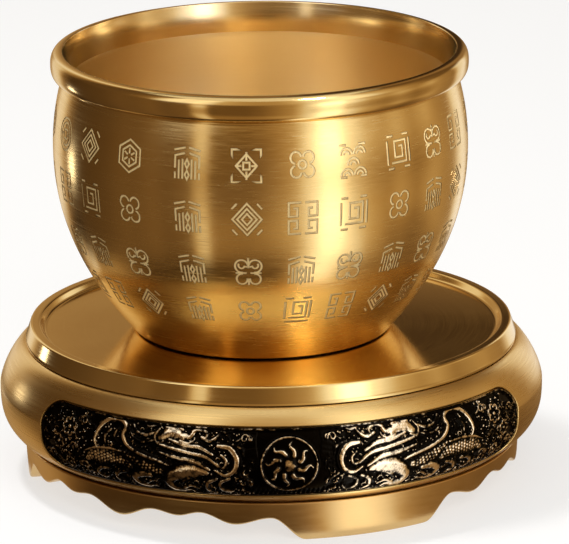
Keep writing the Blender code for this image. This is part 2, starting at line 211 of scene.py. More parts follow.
def keep_turned_look(piece, outline, cut_slot=1, flank_slot=1):
    """Outline normals on the turned wall, flat faces in the cuts, and slots for the cuts."""
    mesh = piece.data
    mesh.shade_smooth()
    points = np.array([vert.co for vert in mesh.vertices])
    gap, normal = follow_outline(points, outline)
    on_wall = gap < ON_THE_WALL
    normals = [None] * len(mesh.loops)
    for face in mesh.polygons:
        touching = [on_wall[vert] for vert in face.vertices]
        whole = all(touching)
        if not whole:
            face.material_index = flank_slot if any(touching) else cut_slot
        for loop, vert in zip(face.loop_indices, face.vertices):
            normals[loop] = normal[vert] if whole else np.array(face.normal)
    mesh.normals_split_custom_set([tuple(map(float, n)) for n in normals])


# %% [markdown]
# ## The bowl's form
#
# The bowl is one turned piece: a foot with a shallow recess under it, a wall that swells to a
# belly and draws in to a neck, and a beaded rim. The wall follows two power curves, one below
# the widest place and one above it. The bead is a superellipse, which is rounder than a circle
# at its shoulders, as a form tool leaves it. The bowl was set down a little left of centre.

# %% Bowl wall
BOWL_AXIS_X = 0.5 * (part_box("bowl")[0].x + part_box("bowl")[1].x)
BOWL_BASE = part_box("bowl")[0].z
BOWL_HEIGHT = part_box("bowl")[1].z - BOWL_BASE
FOOT_RADIUS = 35.2 * MM
BELLY_RADIUS = 56.9 * MM
BELLY_HEIGHT = 51.9 * MM
BELLY_POWER = 2.15
NECK_RADIUS = 54.1 * MM
NECK_HEIGHT = 71.0 * MM
BOWL_WALL = 2.4 * MM


def bowl_radius(height):
    """Outer radius of the bowl's wall at a height above its foot."""
    if height <= BELLY_HEIGHT:
        share = (BELLY_HEIGHT - height) / BELLY_HEIGHT
        return BELLY_RADIUS - (BELLY_RADIUS - FOOT_RADIUS) * share ** BELLY_POWER
    share = (height - BELLY_HEIGHT) / (NECK_HEIGHT - BELLY_HEIGHT)
    return BELLY_RADIUS - (BELLY_RADIUS - NECK_RADIUS) * share ** 2


def bowl_slope(height, step=0.1 * MM):
    """Unit tangent (radius, height) of the bowl's wall, going up."""
    tangent = np.array([bowl_radius(height + step) - bowl_radius(height - step), 2 * step])
    return tangent / np.linalg.norm(tangent)


def bowl_inside(height):
    """Point (radius, height) of the inner wall, square across from the outer one."""
    across, up = bowl_slope(height)
    return bowl_radius(height) - BOWL_WALL * up, height + BOWL_WALL * across


# %% Bowl outline
BOWL_FLOOR = 3.6 * MM
FOOT_RECESS = 0.8 * MM
WALL_START = 1.4 * MM
WALL_STEPS = 84
BEAD_RADIUS = 57.2 * MM
BEAD_POWER = 2.6
BEAD_STEPS = 30
INNER_WALL_END = 5.0 * MM


def wall_line(radius_at, low, high, steps):
    """Outline points up a wall, after its first one."""
    heights = [low + (high - low) * step / steps for step in range(1, steps + 1)]
    return [(radius_at(height), height) for height in heights]


def superellipse(angle, power):
    """Place across and up on a superellipse of size 1."""
    across, up = max(0.0, cos(angle)), sin(angle)
    return across ** (2 / power), copysign(abs(up) ** (2 / power), up)


bowl_outline = rounded([
    (0.0, FOOT_RECESS), (30.2 * MM, FOOT_RECESS, 0.3 * MM), (31.0 * MM, 0.0, 0.3 * MM),
    (FOOT_RADIUS, 0.0, 0.5 * MM), (bowl_radius(WALL_START), WALL_START),
])
bowl_outline += wall_line(bowl_radius, WALL_START, NECK_HEIGHT, WALL_STEPS)
for step in range(1, BEAD_STEPS + 1):
    across, up = superellipse(radians(-90.0 + 180.0 * step / BEAD_STEPS), BEAD_POWER)
    bowl_outline.append((NECK_RADIUS + (BEAD_RADIUS - NECK_RADIUS) * across,
                         NECK_HEIGHT + 0.5 * (BOWL_HEIGHT - NECK_HEIGHT) * (1 + up)))
bowl_outline += [(53.95 * MM, BOWL_HEIGHT - 0.06 * MM), (53.9 * MM, BOWL_HEIGHT - 0.3 * MM),
                 (53.75 * MM, BOWL_HEIGHT - 1.6 * MM)]
bowl_outline += [bowl_inside(height)
                 for height in np.linspace(NECK_HEIGHT, INNER_WALL_END, WALL_STEPS // 2 + 1)]
bowl_outline += rounded([
    bowl_inside(4.6 * MM), (bowl_inside(2.0 * MM)[0] - 0.4 * MM, BOWL_FLOOR, 4.2 * MM),
    (0.0, BOWL_FLOOR),
])[1:]
print("bowl outline has", len(bowl_outline), "points, top at", round(BOWL_HEIGHT / MM, 2), "mm")

# %% Turn the bowl
BOWL_TURNS = 288
bowl = add_piece("bowl_turned", *turn(bowl_outline, BOWL_TURNS), "bowl", "bowl", "brushed_brass",
                 centre=(BOWL_AXIS_X, 0.0, BOWL_BASE))

# %% [markdown]
# ## Engraved ornaments
#
# Rows of fine engraved marks cover the wall between the neck and the foot. Each mark here is a
# small traditional ornament of lines, such as a key fret, a coin, a lattice or a cloud scroll,
# drawn in a square from -1 to 1. An engraver's tool cuts a groove with sloping sides and a dull
# floor, so each line becomes a long wedge laid along the wall, and the wedges are cut out of
# the bowl. Lines that cross are cut in separate passes, as one would cut them by hand.

# %% Simple lines
def ring(x, y, size, start=0.0, sweep=360.0, sides=28):
    """An arc as a list of points. A whole turn is a closed line."""
    count = max(4, int(abs(sweep) / 360.0 * sides))
    angles = [radians(start + sweep * step / count) for step in range(count + 1)]
    return [(x + size * cos(a), y + size * sin(a)) for a in angles]


def box_line(wide, tall):
    return [(wide * a, tall * b) for a, b in ((-1, -1), (1, -1), (1, 1), (-1, 1), (-1, -1))]


def lozenge(y, wide, tall):
    return [(0, y - tall), (wide, y), (0, y + tall), (-wide, y), (0, y - tall)]


def cross(tall, wide):
    """Strokes up, down, right and left of the middle, each from one distance to another."""
    strokes = [[(0.0, way * distance) for distance in tall] for way in (1, -1)]
    return strokes + [[(way * distance, 0.0) for distance in wide] for way in (1, -1)]


def mirrored(lines):
    return lines + [[(-x, y) for x, y in line] for line in lines]


def key_fret(size, turns, pitch):
    """A square spiral that starts at the outer corner."""
    points, place = [(-size, -size)], np.array([-size, -size])
    heading, length = np.array([1.0, 0.0]), 2 * size
    for turn_number in range(turns):
        place = place + heading * length
        points.append(tuple(place))
        heading = np.array([-heading[1], heading[0]])
        if turn_number % 2 == 1:
            length -= pitch
    return points


# %% Lines of the ornaments
def ornaments():
    """Line sets, each a list of open or closed lines in a square from -1 to 1."""
    coin = [ring(0, 0, 0.94), ring(0, 0, 0.66), box_line(0.26, 0.26)]
    coin += cross((0.38, 0.56), (0.38, 0.56))
    fret = [[(-0.9, 0.94), (0.9, 0.94)], key_fret(0.62, 7, 0.31),
            [(-0.9, -0.94), (0.9, -0.94)], [(-0.9, 0.7), (-0.9, -0.7)], [(0.9, 0.7), (0.9, -0.7)]]
    lattice = [box_line(0.92, 0.94), lozenge(0, 0.66, 0.68), box_line(0.2, 0.2)]
    lattice += cross((0.8, 0.3), (0.3, 0.56))
    knots = [lozenge(0, *size) for size in ((0.92, 0.95), (0.62, 0.64), (0.32, 0.34))]
    knots += [[(0.95 * x, 0.62 * y), (0.62 * x, 0.95 * y)] for y in (1, -1) for x in (-1, 1)]
    cloud = mirrored([
        ring(0.44, 0.36, 0.42, -100, 300)[:-1] + ring(0.44, 0.42, 0.2, 200, 200),
        ring(0.44, -0.52, 0.36, 100, -290), [(0.12, -0.1), (0.85, -0.1)],
    ]) + [[(0.0, 0.94), (0.0, -0.94)]]
    rosette = [ring(0, 0, 0.24)] + [
        ring(0.56 * cos(a), 0.56 * sin(a), 0.34, degrees(a) - 125, 250)
        for a in (radians(45 + 90 * quarter) for quarter in range(4))]
    hexes = [ring(0, 0, size, 30, 360, 6) for size in (0.95, 0.62)] + [
        [(reach * cos(a), reach * sin(a)) for reach in (0.14, 0.48)]
        for a in (radians(60 * side + 30) for side in range(6))]
    hooks = mirrored([
        [(0.12, 0.94), (0.9, 0.94), (0.9, 0.12), (0.36, 0.12), (0.36, 0.6), (0.62, 0.6)],
        [(0.12, -0.94), (0.9, -0.94), (0.9, -0.14), (0.36, -0.14), (0.36, -0.62),
         (0.62, -0.62)],
    ])
    scales = [ring(x, y, size, 0, 180) for y in (-0.9, -0.3, 0.3)
              for x in ((-0.46, 0.46) if y != -0.3 else (-0.01,)) for size in (0.4, 0.2)]
    scales += [[(-0.92, -0.98), (0.92, -0.98)], [(-0.92, 0.86), (0.92, 0.86)]]
    tiers = mirrored([
        [(0.1, 0.92), (0.88, 0.74)], [(0.14, 0.6), (0.8, 0.42), (0.8, -0.3)],
        [(0.3, 0.26), (0.3, -0.9)], [(0.55, 0.2), (0.55, -0.9)], [(0.8, -0.5), (0.8, -0.9)],
    ]) + [lozenge(y, 0.14, 0.26) for y in (-0.02, -0.66)]
    return [coin, fret, lattice, knots, cloud, rosette, hexes, hooks, scales, tiers]


ornament_set = ornaments()
print(len(ornament_set), "ornaments with", sum(map(len, ornament_set)), "lines")

# %% Passes for lines that cross
GROOVE_WIDTH = 0.58 * MM
GROOVE_ROOM = 1.30
MARK_HALF_WIDTH = 4.3 * MM


def samples(line, spacing=0.04):
    """Points close together along a line."""
    line = np.array(line)
    out = []
    for a, b in zip(line, line[1:]):
        count = max(2, int(np.linalg.norm(b - a) / spacing) + 1)
        out.append(a + (b - a) * np.linspace(0, 1, count)[:, None])
    return np.vstack(out)


def passes(lines):
    """Sorts lines into passes so that no two lines of one pass touch."""
    room = GROOVE_ROOM * GROOVE_WIDTH / MARK_HALF_WIDTH
    clouds = [samples(line) for line in lines]
    order = []
    for number, cloud in enumerate(clouds):
        taken = {order[other] for other in range(number) if np.min(np.linalg.norm(
            cloud[:, None] - clouds[other][None], axis=2)) < room}
        order.append(min(set(range(len(lines) + 1)) - taken))
    return order


ornament_passes = [passes(lines) for lines in ornament_set]
print("passes needed:", 1 + max(max(order) for order in ornament_passes))


# %% A groove along a line
# Half widths, as shares of the groove's width, and offsets of the wedge's edges from the wall
GROOVE_SECTION = ((0.62, 0.10 * MM), (0.44, -0.15 * MM))


def on_bowl(azimuth, middle, across, up, offset):
    """Point an offset outside the wall, beside a mark's middle, in the bowl's own frame."""
    slant = bowl_slope(middle)[1]
    height = middle + up * 0.5 * (slant + bowl_slope(middle + up * slant)[1])
    tangent = bowl_slope(height)
    angle = azimuth + across / bowl_radius(middle)
    radius = bowl_radius(height) + offset * tangent[1]
    return on_circle(radius, angle, height - offset * tangent[0])


def groove(line, place, builder):
    """Adds a wedge along a line to the builder's points and faces. place maps to the wall."""
    points, faces = builder
    line = np.array(line)
    closed = np.linalg.norm(line[0] - line[-1]) < 1e-6
    if closed:
        line = line[:-1]
    count = len(line)
    start = len(points)
    for number in range(count):
        ahead = line[(number + 1) % count] - line[number]
        back = line[number] - line[number - 1]
        if not closed and number == 0:
            back = ahead
        if not closed and number == count - 1:
            ahead = back
        ahead, back = ahead / np.linalg.norm(ahead), back / np.linalg.norm(back)
        mitre = ahead + back
        mitre = mitre / max(np.linalg.norm(mitre), 1e-6)
        side = np.array([-mitre[1], mitre[0]])
        widen = min(2.0, 1.0 / max(0.3, float(side @ np.array([-ahead[1], ahead[0]]))))
        for half, offset in GROOVE_SECTION:
            for way in (1.0, -1.0):
                shift = side * way * half * GROOVE_WIDTH * widen
                points.append(place(line[number] + shift, offset))
    loop = (0, 2, 3, 1)
    for number in range(count if closed else count - 1):
        here, there = start + 4 * number, start + 4 * ((number + 1) % count)
        for a, b in zip(loop, loop[1:] + loop[:1]):
            faces.append((here + a, there + a, there + b, here + b))
    if not closed:
        faces.append(tuple(start + corner for corner in loop))
        faces.append(tuple(start + 4 * (count - 1) + corner for corner in reversed(loop)))


# %% Lay the marks out and cut them
MARK_HALF_HEIGHT = 4.7 * MM
MARK_ROWS = (59.8 * MM, 45.1 * MM, 29.8 * MM, 17.2 * MM)
FRONT_COLUMNS = (-69.0, -54.4, -38.4, -20.3, -3.8, 11.4, 26.0, 41.0, 55.5, 69.0)
BACK_COLUMNS = 13
back_pitch = (360.0 - (FRONT_COLUMNS[-1] - FRONT_COLUMNS[0])) / (BACK_COLUMNS + 1)
columns = list(FRONT_COLUMNS)
columns += [FRONT_COLUMNS[-1] + back_pitch * (step + 1) for step in range(BACK_COLUMNS)]

cutting_passes = {}
for row, middle in enumerate(MARK_ROWS):
    narrow = (bowl_radius(middle) / BELLY_RADIUS) ** 0.7
    size = np.array([MARK_HALF_WIDTH * narrow, MARK_HALF_HEIGHT])
    for column, azimuth in enumerate(columns):
        def place(spot, offset, middle=middle, azimuth=radians(azimuth)):
            return on_bowl(azimuth, middle, *spot, offset)

        kind = (3 * column + 7 * row + column * row) % len(ornament_set)
        for line, number in zip(ornament_set[kind], ornament_passes[kind]):
            groove(np.array(line) * size, place, cutting_passes.setdefault(number, ([], [])))

engraving = [add_piece("engraving_pass_%d" % number, *cutting_passes[number], None,
                       centre=(BOWL_AXIS_X, 0.0, BOWL_BASE))
             for number in sorted(cutting_passes)]
cut_piece(bowl, engraving)
# Slot 4 on the sloping sides of each groove is a dark brown painted shade
keep_turned_look(bowl, bowl_outline, cut_slot=1, flank_slot=4)

# %% [markdown]
# ## The dish
#
# The dish closes the drum. It is turned too: a narrow lip, a mirror floor that the bowl stands
# on, and a straight band that ends in a fine seam on the drum. A tight fillet at the foot of
# the lip and soft edges on its crown catch the light as thin bright rings.

# %% Turn the dish
DISH_SEAT = 37.7 * MM
DISH_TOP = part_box("dish")[1].z
DISH_FLOOR = DISH_TOP - 1.9 * MM
dish_outline = rounded([
    (0.0, DISH_FLOOR - 2.2 * MM), (62.5 * MM, DISH_FLOOR - 2.2 * MM, 0.3 * MM),
    (62.5 * MM, DISH_SEAT - 2.8 * MM, 0.3 * MM), (64.5 * MM, DISH_SEAT - 2.8 * MM, 0.3 * MM),
    (64.5 * MM, DISH_SEAT), (67.7 * MM, DISH_SEAT, 0.12 * MM),
    (67.7 * MM, DISH_SEAT + 0.8 * MM, 0.3 * MM), (66.3 * MM, DISH_TOP, 0.55 * MM),
    (63.7 * MM, DISH_TOP, 0.5 * MM), (62.45 * MM, DISH_FLOOR, 0.7 * MM), (0.0, DISH_FLOOR),
])
TURNS = 256
dish = add_piece("dish_turned", *turn(dish_outline, TURNS), "stand", "dish", "polished_brass")

# %% [markdown]
# ## The drum and its two recesses
#
# The drum's shoulder is a superellipse that runs up to the dish, and its underside draws in to
# the apron. The recesses are cartouches, long shapes with rounded ends, and they follow the
# curve of the drum. The cutter flares where it leaves the metal, so the recess gets the soft
# bright edge that a file or a polishing wheel leaves.

# %% Drum profile
DRUM_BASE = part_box("drum")[0].z
DRUM_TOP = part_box("drum")[1].z
DRUM_RADIUS = 75.0 * MM
DRUM_WIDEST = DRUM_BASE + 14.7 * MM
DRUM_FOOT_RADIUS = 67.5 * MM
FLANGE_RADIUS = 60.0 * MM
MOUTH_RADIUS = 67.7 * MM
BORE_RADIUS = 64.8 * MM
DRUM_WALL = 4.2 * MM
SHOULDER_POWER = 1.42
UNDERSIDE_POWER = 3.3


def drum_radius(height):
    """Outer radius of the drum at a height above the table."""
    if height >= DRUM_WIDEST:
        share = min(1.0, (height - DRUM_WIDEST) / (DRUM_TOP - DRUM_WIDEST))
        fullness = (1.0 - share ** SHOULDER_POWER) ** (1.0 / SHOULDER_POWER)
        return MOUTH_RADIUS + (DRUM_RADIUS - MOUTH_RADIUS) * fullness
    share = min(1.0, (DRUM_WIDEST - height) / (DRUM_WIDEST - DRUM_BASE))
    return DRUM_RADIUS - (DRUM_RADIUS - DRUM_FOOT_RADIUS) * share ** UNDERSIDE_POWER


def on_drum(azimuth, along, up, offset, middle, step=0.05 * MM):
    """Point an offset outside the drum, beside a spot at an azimuth and a middle height."""
    height = middle + up
    rise = drum_radius(height + step) - drum_radius(height - step)
    length = hypot(rise, 2 * step)
    radius = drum_radius(height) + offset * 2 * step / length
    angle = radians(azimuth) + along / DRUM_RADIUS
    return on_circle(radius, angle, height - offset * rise / length)


UNDERSIDE_START = DRUM_BASE + 0.7 * MM
UNDERSIDE_STEPS = 26
SHOULDER_STEPS = 34
drum_outline = rounded([(FLANGE_RADIUS, DRUM_BASE), (DRUM_FOOT_RADIUS, DRUM_BASE, 0.15 * MM),
                        (drum_radius(UNDERSIDE_START), UNDERSIDE_START)])
drum_outline += wall_line(drum_radius, UNDERSIDE_START, DRUM_WIDEST, UNDERSIDE_STEPS)
for step in range(1, SHOULDER_STEPS + 1):
    across, up = superellipse(0.5 * pi * step / SHOULDER_STEPS, SHOULDER_POWER)
    drum_outline.append((MOUTH_RADIUS + (DRUM_RADIUS - MOUTH_RADIUS) * across,
                         DRUM_WIDEST + (DRUM_TOP - DRUM_WIDEST) * up))
bore_foot = DRUM_TOP - 3.1 * MM
flange_top = DRUM_BASE + 2.5 * MM
drum_outline += rounded([
    (MOUTH_RADIUS, DRUM_TOP), (BORE_RADIUS, DRUM_TOP, 0.2 * MM),
    (BORE_RADIUS, bore_foot, 0.2 * MM), (drum_radius(bore_foot) - DRUM_WALL, bore_foot, 0.5 * MM),
    (DRUM_RADIUS - DRUM_WALL, DRUM_WIDEST),
    (drum_radius(flange_top) - DRUM_WALL, flange_top, 1 * MM),
    (FLANGE_RADIUS, flange_top, 0.4 * MM), (FLANGE_RADIUS, DRUM_BASE),
])[1:-1]
drum = add_piece("drum_cast", *turn(drum_outline, TURNS), "stand", "drum", "satin_brass")

# %% Cartouche outline
CARTOUCHE_AZIMUTH = 3.5
CARTOUCHE_MARGIN = 2.2 * MM
HALF_LENGTH = DRUM_RADIUS * radians(60.2)
HALF_HEIGHT = 10.05 * MM
CARTOUCHE_MIDDLE = DRUM_BASE + CARTOUCHE_MARGIN + HALF_HEIGHT
CORNER = 8.0 * MM


def cartouche_columns(inset, corner_columns, straight_columns):
    """Pairs of place along the cartouche and half height there, drawn in by the inset."""
    corner = CORNER - inset
    straight = HALF_LENGTH - inset - corner
    columns = []
    for step in range(corner_columns):
        angle = 0.5 * pi * step / corner_columns
        columns.append((-straight - corner * cos(angle),
                        HALF_HEIGHT - inset - corner * (1 - sin(angle))))
    for step in range(straight_columns + 1):
        columns.append((straight * (2 * step / straight_columns - 1), HALF_HEIGHT - inset))
    return columns + [(-along, reach) for along, reach in reversed(columns[:corner_columns])]


def cartouche_block(azimuth, stages, corner_columns=10, straight_columns=120, rows=8):
    """A closed solid on the drum's curve through stages of (inset, offset)."""
    points, faces, loops = [], [], []
    for number, (inset, offset) in enumerate(stages):
        columns = cartouche_columns(inset, corner_columns, straight_columns)
        grid = []
        for along, reach in columns:
            grid.append(list(range(len(points), len(points) + rows + 1)))
            for row in range(rows + 1):
                up = reach * (2 * row / rows - 1)
                points.append(on_drum(azimuth, along, up, offset, CARTOUCHE_MIDDLE))
        if number in (0, len(stages) - 1):
            for left, right in zip(grid, grid[1:]):
                for row in range(rows):
                    quad = (left[row], right[row], right[row + 1], left[row + 1])
                    faces.append(quad if number else quad[::-1])
        loops.append([column[0] for column in grid[:-1]] + grid[-1][:-1]
                     + [column[-1] for column in grid[:0:-1]] + grid[0][:0:-1])
    for low, high in zip(loops, loops[1:]):
        faces += bridge(low, high)
    return points, faces


# %% Cut the recesses
RECESS_DEPTH = 2.2 * MM
recess_stages = [(0.0, -RECESS_DEPTH), (0.0, -0.30 * MM), (-0.03 * MM, -0.16 * MM),
                 (-0.10 * MM, -0.06 * MM), (-0.22 * MM, 0.0), (-0.40 * MM, 0.06 * MM),
                 (-0.40 * MM, 2.0 * MM)]
SIDES = (("front", 0.0), ("back", 180.0))
cutters = []
for side, turn_by in SIDES:
    block = cartouche_block(CARTOUCHE_AZIMUTH + turn_by, recess_stages)
    cutters.append(add_piece("recess_" + side, *block, None))
cut_piece(drum, cutters)
keep_turned_look(drum, drum_outline, cut_slot=0)

# %% [markdown]
# ## The apron ring
#
# The ring's lower edge is a scalloped line: three long feet, and between them lobes and notches
# that mirror about each foot. Turning points with an even swing between them give that line.
# The section is the same all round apart from its lower edge, whose corners are well rounded,
# as they come out of a sand mould.

# %% Scalloped line
FOOT_AZIMUTH = 22.5
HALF_PITCH = 60.0
TURNING_POINTS = ((0.0, 0.0), (0.247, 0.0), (0.382, 6.3 * MM), (0.520, 4.4 * MM),
                  (0.652, 7.2 * MM), (0.748, 5.8 * MM), (0.845, 6.7 * MM), (1.0, 3.4 * MM))
APRON_RADIUS = 68.4 * MM
APRON_TAPER = 0.7 * MM
APRON_HEIGHT = DRUM_BASE - 0.3 * MM
APRON_STATIONS = 720


def scallop(azimuth):
    """Height of the apron's lower edge at an azimuth in degrees."""
    share = abs((azimuth - FOOT_AZIMUTH + HALF_PITCH) % (2 * HALF_PITCH) - HALF_PITCH)
    share /= HALF_PITCH
    for (start, low), (end, high) in zip(TURNING_POINTS, TURNING_POINTS[1:]):
        if share <= end:
            swing = 0.5 - 0.5 * cos(pi * (share - start) / (end - start))
            return low + (high - low) * swing
    return TURNING_POINTS[-1][1]


def apron_section(edge):
    foot = APRON_RADIUS - APRON_TAPER * (1 - edge / APRON_HEIGHT)
    inner = APRON_RADIUS - APRON_TAPER - 3.6 * MM
    return rounded([
        (59.7 * MM, APRON_HEIGHT, 0.0), (APRON_RADIUS, APRON_HEIGHT, 0.35 * MM),
        (foot, edge, 0.8 * MM), (inner, edge, 0.7 * MM),
        (inner, APRON_HEIGHT - 2.0 * MM, 0.4 * MM), (56.7 * MM, APRON_HEIGHT - 2.0 * MM, 0.3 * MM),
        (56.7 * MM, APRON_HEIGHT + 2.8 * MM, 0.3 * MM),
        (59.7 * MM, APRON_HEIGHT + 2.8 * MM, 0.3 * MM),
    ], closed=True)


apron_points, apron_faces, stations = [], [], []
for step in range(APRON_STATIONS):
    azimuth = 360.0 * step / APRON_STATIONS
    section = apron_section(scallop(azimuth))
    stations.append(list(range(len(apron_points), len(apron_points) + len(section))))
    apron_points += [on_circle(r, radians(azimuth), z) for r, z in section]
for here, there in zip(stations, stations[1:] + stations[:1]):
    apron_faces += bridge(here, there)
apron = add_piece("apron_cast", apron_points, apron_faces, "stand", "apron_ring", "satin_brass")

# %% [markdown]
# ## A height map for the relief
#
# A relief plaque is cast from a carved pattern, so all of it is one skin: a sunk field, a
# narrow frame, a round boss and the figures. That skin is a fine grid here, and each figure
# raises it like a mound of wax. A mound runs along a smooth line, swells and tapers, and the
# highest one wins where two meet. Lengths in this part are in millimetres, measured from the
# plaque's middle.

# %% Grid of the plaque
PLAQUE_COLUMNS = 700
PLAQUE_CORNER_COLUMNS = 22
PLAQUE_ROWS = 96
PLAQUE_INSET = 0.3
plate = cartouche_columns(PLAQUE_INSET * MM, PLAQUE_CORNER_COLUMNS, PLAQUE_COLUMNS)
plate_u = np.array([along for along, reach in plate])[:, None] / MM
plate_reach = np.array([reach for along, reach in plate])[:, None] / MM
plate_v = plate_reach * np.linspace(-1.0, 1.0, PLAQUE_ROWS + 1)[None, :]
plate_u = np.repeat(plate_u, PLAQUE_ROWS + 1, axis=1)
print("plaque grid:", plate_u.shape)


def inside_outline(u, v):
    """How far a place lies inside the cartouche's edge."""
    half_u, half_v, corner = HALF_LENGTH / MM, HALF_HEIGHT / MM, CORNER / MM
    du = np.maximum(np.abs(u) - (half_u - corner), 0.0)
    dv = np.maximum(np.abs(v) - (half_v - corner), 0.0)
    flat = np.minimum(half_u - np.abs(u), half_v - np.abs(v))
    return np.where((du > 0) & (dv > 0), corner - np.hypot(du, dv), flat)


# %% Mounds along lines
def curve(knots, per_span=9):
    """A smooth line through the knots."""
    knots = np.asarray(knots, float)
    padded = np.vstack([2 * knots[0] - knots[1], knots, 2 * knots[-1] - knots[-2]])
    t = np.linspace(0, 1, per_span, endpoint=False)[:, None]
    spans = [0.5 * (2 * b + (c - a) * t + (2 * a - 5 * b + 4 * c - d) * t ** 2
                    + (3 * b - a - 3 * c + d) * t ** 3)
             for a, b, c, d in zip(padded, padded[1:], padded[2:], padded[3:])]
    return np.vstack(spans + [knots[-1:]])


def along_line(line, reach):
    """Mask of the grid near a line, with distance, length along it, share and side there."""
    low, high = line.min(0) - reach, line.max(0) + reach
    mask = ((plate_u > low[0]) & (plate_u < high[0])
            & (plate_v > low[1]) & (plate_v < high[1]))
    spot = np.stack([plate_u[mask], plate_v[mask]], 1)
    runs = np.diff(line, axis=0)
    steps = np.linalg.norm(runs, axis=1)
    travelled = np.concatenate([[0.0], np.cumsum(steps)])
    far, segment, share = nearest(line, spot)
    length = travelled[segment] + share * steps[segment]
    run, gap = runs[segment], spot - line[segment]
    side = np.sign(run[:, 0] * gap[:, 1] - run[:, 1] * gap[:, 0])
    return mask, far, length, length / max(travelled[-1], 1e-9), side


def mound(relief, line, widths, top, crown=0.5, finish=None):
    """Raises the relief along a line. widths are half widths, evenly spaced along it."""
    line = np.asarray(line, float)
    mask, far, length, share, side = along_line(line, max(widths) * 1.1)
    width = np.interp(share, np.linspace(0, 1, len(widths)), widths)
    across = np.clip(far / np.maximum(width, 1e-6), 0.0, 1.0)
    height = top * (1 - across ** 2) ** crown
    if finish == "ribbon":
        height = height - 0.40 * np.clip(1 - np.abs(across - 0.52) / 0.18, 0, 1)
    if finish == "scales":
        rows = length / 1.05
        columns = side * far / 0.95 + 0.5 * (np.floor(rows) % 2)
        cell = np.hypot(rows % 1.0 - 0.35, columns % 1.0 - 0.5)
        height = height - 0.26 * np.clip((cell - 0.30) / 0.25, 0, 1) * (1 - across ** 4)
    relief[mask] = np.where(across < 1, np.maximum(relief[mask], height), relief[mask])


def disc(relief, u, v, size, top, crown=0.5):
    """Raises a round knob."""
    far = np.hypot(plate_u - u, plate_v - v) / size
    height = np.where(far < 1, top * np.clip(1 - far ** 2, 0, 1) ** crown, 0.0)
    np.maximum(relief, height, out=relief)


# %% [markdown]
# ## Dragons, clouds and pearl
#
# Two dragons that face a flaming pearl are one of the oldest subjects on such stands. Each one
# is drawn here as a table of mounds: the chest, neck, arm and haunch, ribbons that sweep back
# into a looped tail, and a head with horn, ear and beard. Two mounds carry scales. Curled clouds
# and round ones fill the ends, and small curls and drops of water fill the ground between.

# %% Clouds and rosettes
def cloud_scroll(relief, u, v, size, way=1, top=0.62, tail=0.0):
    """A curl with a second curl beside it, as clouds are drawn on metalwork."""
    for shift, scale, turn_way in ((0.0, 1.0, way), (1.15, 0.72, -way)):
        angles = np.linspace(0.2, 1.62 * pi * 1.25, 26)
        radii = size * scale * (1.0 - 0.72 * np.linspace(0, 1, 26))
        line = np.stack([u + turn_way * radii * np.cos(angles) * 1.05 + shift * size * way,
                         v + radii * np.sin(angles)], 1)
        mound(relief, line, [0.20 * size * scale, 0.30 * size * scale, 0.2 * size], top)
    if tail:
        line = curve([(u - way * size, v), (u - way * size * 1.8, v - 0.5 * size),
                      (u - way * size * (1.8 + tail), v - 0.2 * size)])
        mound(relief, line, [0.26 * size, 0.22 * size, 0.05], top * 0.9)


def rosette(relief, u, v, size, petals=7):
    """A round cloud: small curls about a knob."""
    disc(relief, u, v, 0.30 * size, 0.90)
    for petal in range(petals):
        a = 2 * pi * petal / petals
        angles = a + np.linspace(-1.9, 1.9, 12)
        line = np.stack([u + 0.68 * size * cos(a) + 0.26 * size * np.cos(angles),
                         v + 0.68 * size * sin(a) + 0.26 * size * np.sin(angles)], 1)
        mound(relief, line, [0.11 * size, 0.15 * size, 0.11 * size], 0.88)


